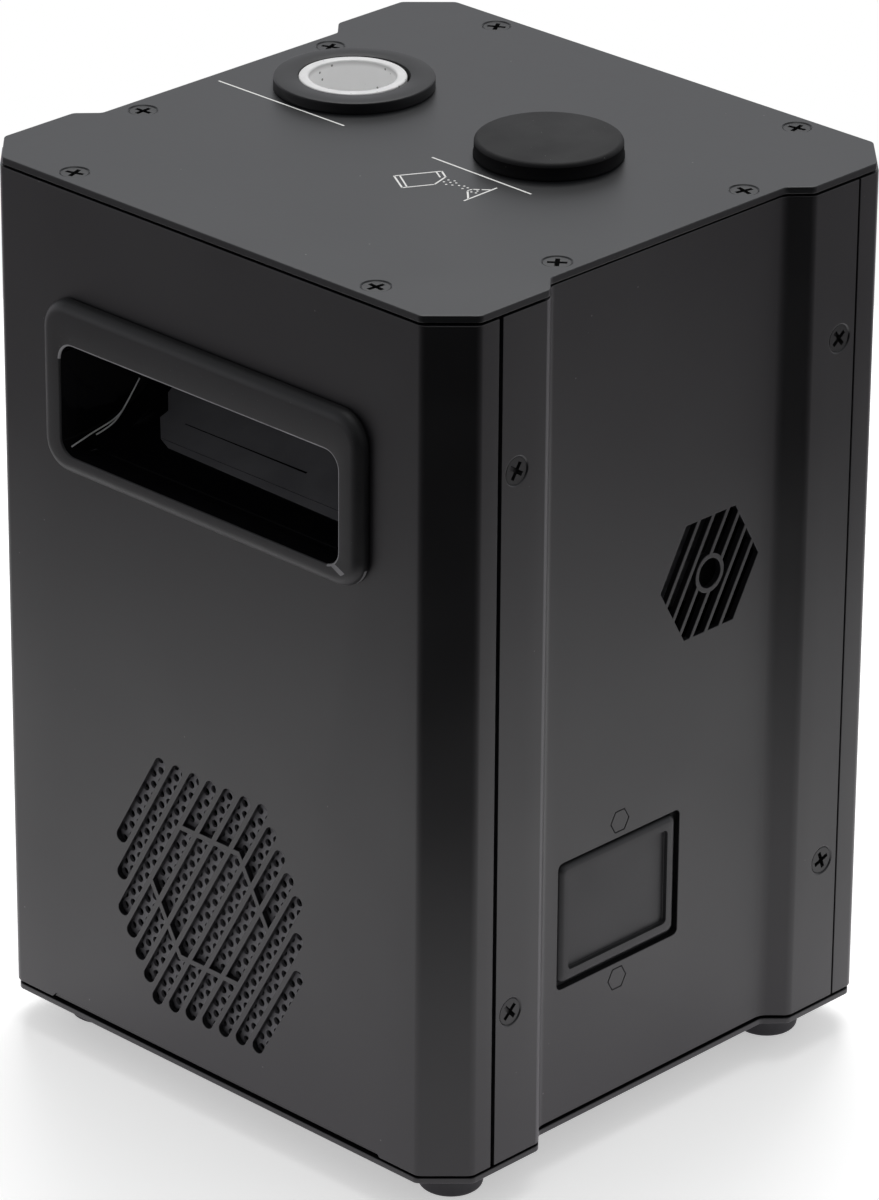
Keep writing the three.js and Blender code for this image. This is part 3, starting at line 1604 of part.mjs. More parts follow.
// Nozzle and chamber
const stack = new THREE.Group();
stack.position.set(nozzleX, feedLineY, 0);
machine.add(stack);
piece('nozzle_flange', makeNozzleFlange(), 'topCoat', [0, 0, plateTop], [0, 0, 0], stack);
piece('nozzle_tube', makeNozzleTube(), 'ceramic', [0, 0, plateTop], [0, 0, 0], stack);
piece('heating_chamber', makeHeatingChamber(), 'steel', [0, 0, 0], [0, 0, 0], stack);
piece('heater_band', makeHeaterBand(), 'brass', [0, 0, 0], [0, 0, 0], stack);
piece('heat_shield', makeHeatShield(), 'aluminium', [0, 0, 0], [0, 0, 0], stack);

// Hopper and feeder
piece('powder_hopper', makeHopper(), 'steel', [hopperX, feedLineY, 0]);
piece('hopper_cap', makeHopperCap(), 'softRubber', [hopperX, feedLineY, plateTop]);
piece('feed_tube', makeFeedTube(), 'aluminium');
piece('feed_auger', makeAuger(), 'steel', [0, feedLineY, feederZ]);
piece('feed_gearmotor', makeGearmotor(), 'steel', [0, feedLineY, feederZ]);

// Blower and cooling fan
piece('blower_housing', makeBlowerHousing(), 'mouldedBlack', [blowerX, feedLineY, blowerZ]);
piece('blower_impeller', makeImpeller(), 'mouldedBlack', [blowerX, feedLineY, blowerZ]);
piece('vent_mesh', makeVentMesh(), 'screwBlack');
piece('cooling_fan_frame', makeFanFrame(), 'mouldedBlack', [vent.centreX, fanFront, ventZ]);
piece('cooling_fan_rotor', makeFanRotor(), 'mouldedBlack', [vent.centreX, fanFront, ventZ]);

// Electronics
piece('main_board', makeMainBoard(), 'board', [0, 0, panelBottom + mainBoard.rise]);
piece('power_supply', makePowerSupply(), 'board', [
  innerRecessX - supply.sideGap - supply.width / 2,
  fanFront + fan.depth + supply.fanGap + supply.length / 2,
  0,
]);

// Rear controls
piece('display_window', makeDisplayWindow(), 'amber');
piece('control_board', makeControlBoard(), 'board');
for (let i = 0; i < keys.count; i += 1) {
  piece(`menu_key_${i + 1}`, makeKey(), 'key', [keyX(i), 0, keysZ]);
}
piece('signal_input', makeSignalInput(), 'steel', [-xlr.spacing / 2, 0, signalZ]);
piece('signal_output', makeSignalOutput(), 'steel', [xlr.spacing / 2, 0, signalZ]);
piece('mains_inlet', makeMainsInlet(), 'mouldedBlack', [inlet.centreX, 0, inletZ]);
piece('fuse_drawer', makeFuseDrawer(), 'mouldedBlack', [inlet.centreX, 0, inletZ]);
piece('rocker_housing', makeRockerHousing(), 'mouldedBlack', [rocker.centreX, 0, rockerZ]);
piece('power_rocker', makeRocker(), 'mouldedBlack', [rocker.centreX, rockerPivotY, rockerZ],
  [rocker.tilt, 0, 0]);

export default machine;
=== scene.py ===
"""Looks of the cold spark machine: powder-coated folded steel, a rubbery handle rim round a gloss
scoop, a ceramic nozzle, a rubber hopper cap and moulded sockets. Shapes are drawn in millimetres."""

import math

import bmesh
import bpy
from mathutils import Matrix, Vector


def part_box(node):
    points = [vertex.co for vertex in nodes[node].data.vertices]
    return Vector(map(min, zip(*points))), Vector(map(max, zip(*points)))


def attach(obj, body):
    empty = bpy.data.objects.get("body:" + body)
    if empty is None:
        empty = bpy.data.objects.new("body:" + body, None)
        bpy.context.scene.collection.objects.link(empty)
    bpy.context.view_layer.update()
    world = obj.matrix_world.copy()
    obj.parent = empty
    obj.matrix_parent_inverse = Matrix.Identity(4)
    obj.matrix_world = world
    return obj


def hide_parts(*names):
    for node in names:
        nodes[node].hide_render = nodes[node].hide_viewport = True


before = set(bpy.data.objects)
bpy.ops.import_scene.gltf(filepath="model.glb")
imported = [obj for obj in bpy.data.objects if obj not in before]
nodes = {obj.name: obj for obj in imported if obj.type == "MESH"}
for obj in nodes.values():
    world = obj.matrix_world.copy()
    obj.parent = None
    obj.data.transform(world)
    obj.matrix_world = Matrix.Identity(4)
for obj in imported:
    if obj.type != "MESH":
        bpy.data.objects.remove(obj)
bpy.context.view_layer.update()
MM = 0.001
ring_top = 233.2


def reach(node):
    """Lowest and highest corners of a CAD node, in millimetres."""
    low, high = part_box(node)
    return low / MM, high / MM


def middle(node):
    """The middle of a CAD node's box, in millimetres."""
    return [(low + high) / 2 for low, high in zip(*reach(node))]


# Camera: a long lens, found from the casing's corners in the photograph
camera_data = bpy.data.cameras.new("long lens")
camera_data.sensor_width = 36
camera_data.lens = 198.652
camera_data.clip_start, camera_data.clip_end = 0.05, 50
camera = bpy.data.objects.new("camera", camera_data)
camera.location = (1.01089, -1.03947, 0.78635)
camera.rotation_euler = (math.radians(65.1285), math.radians(-0.3628), math.radians(44.338))
bpy.context.scene.collection.objects.link(camera)
bpy.context.scene.camera = camera
bpy.context.scene.view_settings.view_transform = "Standard"


# Finishes

def linear(code):
    """An sRGB hex colour as linear red, green, blue and alpha."""
    channels = [int(code[i:i + 2], 16) / 255 for i in (1, 3, 5)]
    return (*[c / 12.92 if c <= 0.04045 else ((c + 0.055) / 1.055) ** 2.4 for c in channels], 1)


def add(tree, kind, settings=None, inputs=None):
    """Adds a node, sets its own settings and fills or links its inputs."""
    made = tree.nodes.new(kind)
    for key, value in (settings or {}).items():
        setattr(made, key, value)
    for key, value in (inputs or {}).items():
        if isinstance(value, bpy.types.NodeSocket):
            tree.links.new(value, made.inputs[key])
        else:
            made.inputs[key].default_value = value
    return made


def per_mm(size):
    """Pattern scale on Object coordinates for features of this size in millimetres."""
    return 1 / (size * MM)


def begin(name):
    """An empty material with its node tree and Object coordinates."""
    material = bpy.data.materials.new(name)
    material.use_nodes = True
    material.node_tree.nodes.clear()
    coords = add(material.node_tree, "ShaderNodeTexCoord").outputs["Object"]
    return material, material.node_tree, coords


def covered(material, tree, inputs):
    """Ends a material with its shader, whose inputs are given, and its output."""
    shader = add(tree, "ShaderNodeBsdfPrincipled", {}, inputs)
    add(tree, "ShaderNodeOutputMaterial", {}, {"Surface": shader.outputs[0]})
    return material


# Sockets by number. Map Range: value 0, from 1 and 2, to 3 and 4. Mix of colours: share 0, colours 6
# and 7, and the result is output 2.

def coated(name, colour, dust_colour, dust, grain, peel, roughness, ior=1.6):
    """Polyester powder coat on sheet steel: satin, with a fine orange peel and a few dust specks."""
    material, tree, coords = begin(name)
    wave = add(tree, "ShaderNodeTexNoise", {}, {"Vector": coords, "Scale": per_mm(1.1), "Detail": 2.0})
    fine = add(tree, "ShaderNodeTexNoise", {}, {"Vector": coords, "Scale": per_mm(0.35), "Detail": 1.0})
    cloud = add(tree, "ShaderNodeTexNoise", {}, {"Vector": coords, "Scale": per_mm(38), "Detail": 3.0})
    specks = add(tree, "ShaderNodeTexVoronoi", {}, {"Vector": coords, "Scale": per_mm(9)})
    speck = add(tree, "ShaderNodeMapRange", {}, {
        0: specks.outputs["Distance"], 1: 0.012, 2: 0.03, 3: dust, 4: 0.0,
    })
    share = add(tree, "ShaderNodeMapRange", {}, {0: cloud.outputs["Fac"], 1: 0.35, 2: 0.65})
    base = add(tree, "ShaderNodeMix", {"data_type": "RGBA"}, {
        0: share.outputs[0], 6: linear(colour), 7: linear(grain),
    })
    dusty = add(tree, "ShaderNodeMix", {"data_type": "RGBA"}, {
        0: speck.outputs[0], 6: base.outputs[2], 7: linear(dust_colour),
    })
    rough = add(tree, "ShaderNodeMapRange", {}, {
        0: cloud.outputs["Fac"], 1: 0.3, 2: 0.7, 3: roughness - 0.03, 4: roughness + 0.03,
    })
    height = add(tree, "ShaderNodeMath", {"operation": "MULTIPLY_ADD"}, {
        0: fine.outputs["Fac"], 1: 0.35, 2: wave.outputs["Fac"],
    })
    bump = add(tree, "ShaderNodeBump", {}, {
        "Strength": peel, "Distance": 0.03 * MM, "Height": height.outputs["Value"],
    })
    return covered(material, tree, {
        "Base Color": dusty.outputs[2],
        "Roughness": rough.outputs[0],
        "IOR": ior,
        "Normal": bump.outputs["Normal"],
    })


def moulded(name, colour, worn, texture, depth, roughness, ior=1.5, dust=0.0):
    """Moulded plastic or rubber: the tool's spark-eroded texture, a faint bloom and some dust."""
    material, tree, coords = begin(name)
    skin = add(tree, "ShaderNodeTexNoise", {}, {
        "Vector": coords, "Scale": per_mm(texture), "Detail": 2.0,
    })
    bloom = add(tree, "ShaderNodeTexNoise", {}, {"Vector": coords, "Scale": per_mm(11), "Detail": 4.0})
    specks = add(tree, "ShaderNodeTexVoronoi", {}, {"Vector": coords, "Scale": per_mm(2.6)})
    speck = add(tree, "ShaderNodeMapRange", {}, {
        0: specks.outputs["Distance"], 1: 0.02, 2: 0.06, 3: dust, 4: 0.0,
    })
    share = add(tree, "ShaderNodeMapRange", {}, {0: bloom.outputs["Fac"], 1: 0.35, 2: 0.7})
    base = add(tree, "ShaderNodeMix", {"data_type": "RGBA"}, {
        0: share.outputs[0], 6: linear(colour), 7: linear(worn),
    })
    dusty = add(tree, "ShaderNodeMix", {"data_type": "RGBA"}, {
        0: speck.outputs[0], 6: base.outputs[2], 7: linear("#8d8b88"),
    })
    rough = add(tree, "ShaderNodeMapRange", {}, {
        0: bloom.outputs["Fac"], 1: 0.3, 2: 0.7, 3: roughness - 0.04, 4: roughness + 0.04,
    })
    bump = add(tree, "ShaderNodeBump", {}, {
        "Strength": 0.5, "Distance": depth * MM, "Height": skin.outputs["Fac"],
    })
    return covered(material, tree, {
        "Base Color": dusty.outputs[2],
        "Roughness": rough.outputs[0],
        "IOR": ior,
        "Normal": bump.outputs["Normal"],
    })


def metal(name, colour, dark, grain, roughness):
    """Bare or plated metal: a fine grain and slightly uneven brightness."""
    material, tree, coords = begin(name)
    grains = add(tree, "ShaderNodeTexNoise", {}, {
        "Vector": coords, "Scale": per_mm(grain), "Detail": 3.0,
    })
    tone = add(tree, "ShaderNodeMapRange", {}, {0: grains.outputs["Fac"], 1: 0.3, 2: 0.7})
    base = add(tree, "ShaderNodeMix", {"data_type": "RGBA"}, {
        0: tone.outputs[0], 6: linear(dark), 7: linear(colour),
    })
    rough = add(tree, "ShaderNodeMapRange", {}, {
        0: grains.outputs["Fac"], 1: 0.3, 2: 0.7, 3: roughness - 0.06, 4: roughness + 0.06,
    })
    bump = add(tree, "ShaderNodeBump", {}, {
        "Strength": 0.3, "Distance": 0.01 * MM, "Height": grains.outputs["Fac"],
    })
    return covered(material, tree, {
        "Base Color": base.outputs[2],
        "Metallic": 1.0,
        "Roughness": rough.outputs[0],
        "Normal": bump.outputs["Normal"],
    })


def sintered(name):
    """Sintered alumina: off-white and matt with dark pinholes. Painted light: paler down inside the bore
    than on its end, against the bore's shade.
    """
    material, tree, coords = begin(name)
    pores = add(tree, "ShaderNodeTexVoronoi", {}, {"Vector": coords, "Scale": per_mm(2.4)})
    cloud = add(tree, "ShaderNodeTexNoise", {}, {"Vector": coords, "Scale": per_mm(5), "Detail": 4.0})
    hole = add(tree, "ShaderNodeMapRange", {}, {
        0: pores.outputs["Distance"], 1: 0.1, 2: 0.15, 3: 0.85, 4: 0.0,
    })
    height = add(tree, "ShaderNodeSeparateXYZ", {}, {0: coords})
    patch = add(tree, "ShaderNodeMapRange", {}, {0: cloud.outputs["Fac"], 1: 0.35, 2: 0.7})
    face = add(tree, "ShaderNodeMix", {"data_type": "RGBA"}, {
        0: patch.outputs[0], 6: linear("#d2d2d2"), 7: linear("#c6c6c6"),
    })
    # Painted light: below the end the bore turns paler, against its shade
    end = add(tree, "ShaderNodeMapRange", {}, {
        0: height.outputs["Z"], 1: ring_top * MM - 0.0016, 2: ring_top * MM - 0.0005,
    })
    base = add(tree, "ShaderNodeMix", {"data_type": "RGBA"}, {
        0: end.outputs[0], 6: linear("#f6f6f6"), 7: face.outputs[2],
    })
    pitted = add(tree, "ShaderNodeMix", {"data_type": "RGBA"}, {
        0: hole.outputs[0], 6: base.outputs[2], 7: linear("#5a5856"),
    })
    bump = add(tree, "ShaderNodeBump", {}, {
        "Strength": 0.4, "Distance": 0.05 * MM, "Height": cloud.outputs["Fac"],
    })
    return covered(material, tree, {
        "Base Color": pitted.outputs[2], "Roughness": 0.45, "IOR": 1.6, "Normal": bump.outputs["Normal"],
    })


def circuit_board(name):
    """Glass-fibre board under green solder mask, with the copper's traces showing through. Traces and
    glass cloth are drawn coarser than they are, so that they show."""
    material, tree, coords = begin(name)
    bricks = add(tree, "ShaderNodeTexBrick", {"offset": 0.35, "squash": 0.6}, {
        "Vector": coords, "Scale": per_mm(6), "Mortar Size": 0.07,
        "Color1": linear("#1a4d2d"), "Color2": linear("#1f5a34"), "Mortar": linear("#2f7a48"),
    })
    cloth = add(tree, "ShaderNodeTexWave", {}, {
        "Vector": coords, "Scale": per_mm(3.2), "Distortion": 0.3,
    })
    bump = add(tree, "ShaderNodeBump", {}, {
        "Strength": 0.2, "Distance": 0.03 * MM, "Height": cloth.outputs["Fac"],
    })
    return covered(material, tree, {
        "Base Color": bricks.outputs["Color"],
        "Roughness": 0.42,
        "IOR": 1.5,
        "Normal": bump.outputs["Normal"],
    })


# Dark satin with a soft, broad sheen and stray dust; its colour is a touch lighter than the sheets',
# painted light for the sheen the top plate catches
top_coat = coated(
    "powder coat, satin black, on the top plate", "#101113", "#9b9b99", 0.5, "#141517", 0.2, 0.36, ior=1.5,
)
# The same coat and sheen on the sheets and the base, darker than the top plate's copy, which carries
# painted light
side_coat = coated(
    "powder coat, satin black, on the folded sheets", "#09080b", "#8f8d8b", 0.4, "#0c0b0e", 0.16, 0.36,
)
# A painted highlight: a pale strip of the coat along a bend
bend_highlight_coat = coated(
    "powder coat with a painted highlight along a bend", "#434245", "#8f8d8b", 0.3, "#4c4b4e", 0.16, 0.4,
)
# Matt grey, lighter than the sheets as painted light against the shade behind the intake, so that the holes
# show
mesh_coat = coated("powder coat on perforated sheet", "#5b5a5e", "#8f8d8b", 0.3, "#636266", 0.16, 0.5)
# Matt black with a faint stipple
rim_rubber = moulded(
    "thermoplastic rubber, stippled", "#0c0c0e", "#111113", 0.42, 0.05, 0.46, dust=0.2,
)
# A painted highlight: a thin pale line round the handle's opening and along the rim's lower outer edge
rim_highlight = moulded(
    "thermoplastic rubber, rubbed pale at the mould's parting line", "#8e8d90", "#6b6a6d", 0.5, 0.05, 0.5,
)
# Dead matt black, dulled by dust; the cap's side gets a darker copy, which is painted shade
cap_rubber = moulded("EPDM rubber, dusty black", "#050506", "#08080a", 0.6, 0.03, 0.7, ior=1.38, dust=0.45)
cap_side_shade = moulded(
    "EPDM rubber with painted shade on the cap's side", "#030304", "#050506", 0.6, 0.03, 0.7, ior=1.2, dust=0.3,
)
# Dark grey without a sheen
foot_rubber = moulded("nitrile rubber, black", "#39393b", "#404042", 0.7, 0.04, 0.7)
# Black that mirrors the room in small highlights
gloss_black = moulded("polished ABS, black", "#08080a", "#0b0b0d", 3.0, 0.004, 0.13, dust=0.12)
# Painted reflection: grey patches laid on the gloss plastic of the scoop's floor
scoop_reflection_grey = moulded("ABS with a painted reflection", "#66666a", "#5b5b5f", 2.0, 0.01, 0.5)
# A painted highlight: a fine bright line
painted_edge_highlight = moulded("ABS with a painted highlight along its edge", "#d4d3d6", "#b9b8bb", 0.6, 0.004, 0.2)
# Black with a fine texture and a low sheen
moulded_black = moulded("textured ABS, black", "#1b1b1d", "#212123", 0.5, 0.03, 0.45)
# A slightly duller black with a grainy skin
nylon_black = moulded("glass-filled nylon, black", "#161617", "#1c1c1d", 0.45, 0.03, 0.5)
# Soft matt grey
key_silicone = moulded("silicone keys, grey", "#7f8184", "#8b8d90", 0.8, 0.02, 0.6)
# Dark, with sharp reflections
smoked_lens = moulded("smoked acrylic, polished", "#0e1013", "#101216", 6.0, 0.002, 0.08)
# Dark green-grey and smooth
unlit_glass = moulded("liquid crystal glass, unlit", "#232a26", "#2a322c", 4.0, 0.001, 0.12)
# Flat white lines
white_ink = moulded("screen-printed ink, white", "#dcdcda", "#cfcfcd", 0.3, 0.01, 0.6)
# Chalky off-white
ceramic = sintered("sintered alumina")
# Near black with an oily sheen
black_oxide = moulded("black oxide on steel, oiled", "#0c0c0d", "#111112", 0.4, 0.006, 0.4)
# Deep, even, matt black
anodised = moulded("black anodised aluminium", "#0c0c0e", "#101012", 0.5, 0.01, 0.42, ior=1.36)
# Mottled bright grey
steel = metal("galvanised steel", "#b9bbbd", "#9fa2a5", 3.0, 0.38)
# Pale grey with a blurred shine
aluminium = metal("die-cast aluminium", "#adafb1", "#999b9d", 0.8, 0.42)
# Warm silver with a clearer shine
nickel = metal("nickel plating", "#aaa8a3", "#a09e99", 0.12, 0.3)
# A warm yellow glint
gold = metal("gold plating on the contacts", "#d9b25e", "#c49d4c", 0.4, 0.24)
# Green with paler traces
board_green = circuit_board("FR4 board, green solder mask")


# Building blocks

def turned(profile, at=(0, 0, 0), steps=64):
    """A form turned about z from (radius, height) points."""
    bm = bmesh.new()
    line = [bm.verts.new((r, 0, z)) for r, z in profile]
    edges = [bm.edges.new(pair) for pair in zip(line, line[1:])]
    bmesh.ops.spin(
        bm, geom=line + edges, cent=(0, 0, 0), axis=(0, 0, 1), angle=2 * math.pi, steps=steps,
        use_merge=True,
    )
    bmesh.ops.remove_doubles(bm, verts=bm.verts, dist=1e-4)
    bmesh.ops.recalc_face_normals(bm, faces=bm.faces)
    bmesh.ops.translate(bm, vec=at, verts=bm.verts)
    return bm


def corners_of(geometry):
    """The vertices among what an operator made."""
    return [g for g in geometry if isinstance(g, bmesh.types.BMVert)]


def raised(bm, height):
    """Gives a flat form a height."""
    grown = bmesh.ops.extrude_face_region(bm, geom=bm.faces[:])
    bmesh.ops.translate(bm, vec=(0, 0, height), verts=corners_of(grown["geom"]))


def split(bm, point, way, **cleared):
    """Cuts a whole form with a plane, and clears one side of it if asked to."""
    everything = bm.verts[:] + bm.edges[:] + bm.faces[:]
    bmesh.ops.bisect_plane(bm, geom=everything, plane_co=point, plane_no=way, **cleared)


def plate(points, low, high, corner=0.0, steps=6, centre=(0, 0)):
    """A flat plate between two heights, with the corners of its outline rounded."""
    bm = bmesh.new()
    verts = [bm.verts.new((x + centre[0], y + centre[1], low)) for x, y in points]
    bm.faces.new(verts)
    if corner:
        bmesh.ops.bevel(
            bm, geom=verts, offset=corner, segments=steps, profile=0.5, affect="VERTICES", material=-1,
            clamp_overlap=True,
        )
    raised(bm, high - low)
    bmesh.ops.recalc_face_normals(bm, faces=bm.faces)
    return bm


def rectangle(width, height):
    """The four corners of a rectangle about the origin."""
    x, y = width / 2, height / 2
    return [(-x, -y), (x, -y), (x, y), (-x, y)]


def moulding(sections, centre=(0, 0), steps=8, hollow=False):
    """Rounded rectangles (width, height, corner, height on z, shift) skinned in turn. A hollow one
    closes on itself, and any other is capped at both ends."""
    bm = bmesh.new()
    width, height, corner, z, *shift = sections[0]
    start = Vector((centre[0], centre[1] + sum(shift), z))
    verts = [bm.verts.new(Vector((x, y, 0)) + start) for x, y in rectangle(width, height)]
    bm.faces.new(verts)
    bmesh.ops.bevel(
        bm, geom=verts, offset=corner, segments=steps, profile=0.5, affect="VERTICES", material=-1,
    )
    ring = bm.edges[:]
    if hollow:
        bmesh.ops.delete(bm, geom=bm.faces[:], context="FACES_ONLY")
    for before, after in zip(sections, sections[1:] + sections[:int(hollow)]):
        grown = bmesh.ops.extrude_edge_only(bm, edges=ring)["geom"]
        ring = [g for g in grown if isinstance(g, bmesh.types.BMEdge)]
        old = Vector((centre[0], centre[1] + sum(before[4:])))
        new = Vector((centre[0], centre[1] + sum(after[4:])))
        for vert in corners_of(grown):
            place = vert.co.xy - old
            side = Vector((math.copysign(1, place.x), math.copysign(1, place.y)))
            inset = Vector((before[0] / 2 - before[2], before[1] / 2 - before[2]))
            spoke = (place - side * inset) / before[2]
            inset = Vector((after[0] / 2 - after[2], after[1] / 2 - after[2]))
            place = side * inset + spoke * after[2]
            vert.co = (*(place + new), after[3])
    if hollow:
        bmesh.ops.remove_doubles(bm, verts=bm.verts, dist=1e-4)
    else:
        bmesh.ops.edgeloop_fill(bm, edges=ring)
    bmesh.ops.recalc_face_normals(bm, faces=bm.faces)
    return bm


def eased(radius, start, count=5):
    """How far a rounded edge has shrunk and risen at each step, from its side to its top."""
    return [(radius * (1 - math.cos(a)), start + radius * math.sin(a))
            for a in (math.pi / 2 * i / count for i in range(count + 1))]


def facing(bm, axis):
    """Stands a form drawn along z on the x or y axis. Its drawing plane becomes (y, z) or (x, z)."""
    rows = {"x": ((0, 0, 1), (1, 0, 0), (0, 1, 0)), "y": ((1, 0, 0), (0, 0, 1), (0, 1, 0))}[axis]
    bmesh.ops.transform(bm, matrix=Matrix(rows).to_4x4(), verts=bm.verts)
    bmesh.ops.recalc_face_normals(bm, faces=bm.faces)
    return bm


def placed(bm, matrix):
    """The form moved by a matrix."""
    bmesh.ops.transform(bm, matrix=matrix, verts=bm.verts)
    return bm


def upright(bm, axis, at):
    """A form drawn along z, stood on another axis with its origin at a place."""
    return placed(facing(bm, axis), Matrix.Translation(at))


def gathered(forms):
    """Several forms as one."""
    whole = bmesh.new()
    for form in forms:
        mesh = bpy.data.meshes.new("part")
        form.to_mesh(mesh)
        form.free()
        whole.from_mesh(mesh)
        bpy.data.meshes.remove(mesh)
    return whole


def held_object(bm):
    """A form as a temporary object."""
    mesh = bpy.data.meshes.new("held")
    bm.to_mesh(mesh)
    bm.free()
    made = bpy.data.objects.new("held", mesh)
    bpy.context.scene.collection.objects.link(made)
    return made


def settled(body, *others):
    """A temporary object's form with its modifiers applied. The object goes, and so do the others."""
    evaluated = body.evaluated_get(bpy.context.evaluated_depsgraph_get())
    result = bmesh.new()
    result.from_mesh(evaluated.to_mesh())
    evaluated.to_mesh_clear()
    for made in (body, *others):
        mesh = made.data
        bpy.data.objects.remove(made)
        bpy.data.meshes.remove(mesh)
    return result


def walled(bm, thickness, offset):
    """An open skin made a closed wall."""
    skin = held_object(bm)
    wall = skin.modifiers.new("wall", "SOLIDIFY")
    wall.thickness, wall.offset, wall.use_even_offset = thickness, offset, True
    return settled(skin)


def carved(bm, *cutters, operation="DIFFERENCE"):
    """A form with others cut from it, or joined to it, one after the other."""
    body = held_object(bm)
    tools = [held_object(cutter) for cutter in cutters]
    for tool in tools:
        step = body.modifiers.new("cut", "BOOLEAN")
        step.operation = operation
        step.solver = "EXACT"
        step.object = tool
    return settled(body, *tools)


def finished(bm, name, material, body="casing", stands_for=(), edge=0.0, steps=2, sharp=32, flat=False):
    """Makes a form a piece that rides on a body, with its edges eased by a small bevel, or with its
    large faces shaded flat."""
    bmesh.ops.remove_doubles(bm, verts=bm.verts, dist=1e-4)
    bmesh.ops.scale(bm, vec=(MM, MM, MM), verts=bm.verts)
    mesh = bpy.data.meshes.new(name)
    bm.to_mesh(mesh)
    bm.free()
    mesh.polygons.foreach_set("use_smooth", [True] * len(mesh.polygons))
    mesh.set_sharp_from_angle(angle=math.radians(sharp))
    mesh.materials.append(material)
    made = bpy.data.objects.new(name, mesh)
    bpy.context.scene.collection.objects.link(made)
    if edge:
        ease = made.modifiers.new("eased edges", "BEVEL")
        ease.width = edge * MM
        ease.segments = steps
        ease.limit_method = "ANGLE"
        ease.angle_limit = math.radians(sharp)
        ease.use_clamp_overlap = False
        ease.harden_normals = True
    if flat:
        made.modifiers.new("flat faces", "WEIGHTED_NORMAL").keep_sharp = True
    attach(made, body)
    if stands_for:
        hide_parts(*stands_for)
    return made


def refinished(made, material, chosen):
    """Gives another finish to the faces of a piece whose middles, in millimetres, are chosen."""
    made.data.materials.append(material)
    for face in made.data.polygons:
        if chosen(face.center / MM):
            face.material_index = len(made.data.materials) - 1


def folded_sheet(path, thickness, inside, hollow, low, high, steps=6):
    """The outer face of a sheet folded along a path seen from above, with the metal on its left.
    Hollow is the radius of that face where it bends inwards."""
    bm = bmesh.new()
    line = [bm.verts.new((x, y, low)) for x, y in path]
    edges = [bm.edges.new(pair) for pair in zip(line, line[1:])]
    grown = bmesh.ops.extrude_edge_only(bm, edges=edges)
    bmesh.ops.translate(bm, vec=(0, 0, high - low), verts=corners_of(grown["geom"]))
    bm.verts.ensure_lookup_table()
    points = [Vector(p) for p in path]
    bends = {}
    for before, here, after in zip(points, points[1:], points[2:]):
        turn = (here - before).angle_signed(after - here)
        radius = hollow if turn > 0 else inside + thickness
        edge = next(e for e in bm.edges if all((v.co.xy - here).length < 1e-6 for v in e.verts))
        bends.setdefault(round(radius * math.tan(abs(turn) / 2), 5), []).append(edge)
    for offset, group in bends.items():
        bmesh.ops.bevel(
            bm, geom=group, offset=offset, segments=steps, profile=0.5, affect="EDGES", material=-1,
            clamp_overlap=False,
        )
    bmesh.ops.recalc_face_normals(bm, faces=bm.faces)
    return bm


# Sizes shared with the CAD, read from its nodes where they can be
half_width, half_depth, plate_z = reach("top_plate")[1]
base_z = reach("base_plate")[0].z
plate_under, base_under, base_top = plate_z - 1.75, base_z + 1.5, base_z + 3
# The folded sheets: their foot and head, their outer faces, and the metal and its bends
foot_z, head_z = base_top + 0.75, plate_under - 0.55
strip_x, face_y = half_width + 0.12, half_depth + 0.12
sheet, bend, hollow_bend = 1.5, 1.2, 4.2
# The recess down each side: its depth in the plates, where it starts and bottoms out, and its sheet's face
recess = 4.7
strip = half_depth - 31.6
recess_half = strip - 5
recess_x = half_width - 5
# Clipped corners of the plates and of the sheets, and the seams between the sheets
clipped, chamfer = 9.6, 9.2
seam = half_depth - 15.83
front_gap, rear_gap = 1.2, 0.6
flange_length = 117.6


def plan():
    """The plates' outline: clipped corners and a shallow recess down each side."""
    right = [
        (half_width - clipped, -half_depth), (half_width, -half_depth + clipped), (half_width, -strip),
        (half_width - recess, -recess_half), (half_width - recess, recess_half), (half_width, strip),
        (half_width, half_depth - clipped), (half_width - clipped, half_depth),
    ]
    return right + [(-x, y) for x, y in reversed(right)]


def eased_plate(points, low, high, edge):
    """A flat plate with rounded corners and eased edges all round."""
    bm = plate(points, low, high, corner=0.8)
    rims = [e for e in bm.edges if abs(e.verts[0].co.z - e.verts[1].co.z) < 1e-6]
    bmesh.ops.bevel(bm, geom=rims, offset=edge, segments=3, profile=0.5, affect="EDGES", material=-1)
    return bm


def countersink(place, matrix=None, depth=9):
    """The hole of a countersunk screw, seen from outside along its own z."""
    hole = turned([(0, -depth), (2.2, -depth), (2.2, -1.35), (3.9, 0.35), (3.9, 2), (0, 2)], steps=40)
    return placed(hole, Matrix.Translation(place) @ (matrix or Matrix.Identity(4)))


top_screws = [(sx * 49.25, sy * 70.5) for sx in (-1, 1) for sy in (-1, 1)]
top_screws += [(sx * 67.65, sy * 31.35) for sx in (-1, 1) for sy in (-1, 1)]
side_screws = [(sy * 54.7, z) for sy in (-1, 1) for z in (52.2, 189.5)]
nozzle_at, hopper_at = Vector((-43.9, 15.8, 0)), Vector((20.35, 15.8, 0))

top = carved(
    eased_plate(plan(), plate_under, plate_z, 0.25),
    turned([(0, -9), (16.3, -9), (16.3, 9), (0, 9)], at=nozzle_at + Vector((0, 0, plate_z))),
    turned([(0, -9), (15.3, -9), (15.3, 9), (0, 9)], at=hopper_at + Vector((0, 0, plate_z))),
    *[countersink((x, y, plate_z - 0.15)) for x, y in top_screws],
)
finished(top, "top_plate_coated", top_coat, stands_for=["top_plate"], flat=True)
base = eased_plate(plan(), base_under, base_top, 0.25)
finished(base, "base_plate_coated", side_coat, stands_for=["base_plate"], flat=True)

# Folded casing

def wrap_path(gap):
    """Outer face of an end sheet, seen from above: across the front and round both corners."""
    half = [(strip_x - chamfer, -face_y), (strip_x, -face_y + chamfer), (strip_x, -seam - gap / 2)]
    return [(-x, y) for x, y in reversed(half)] + half


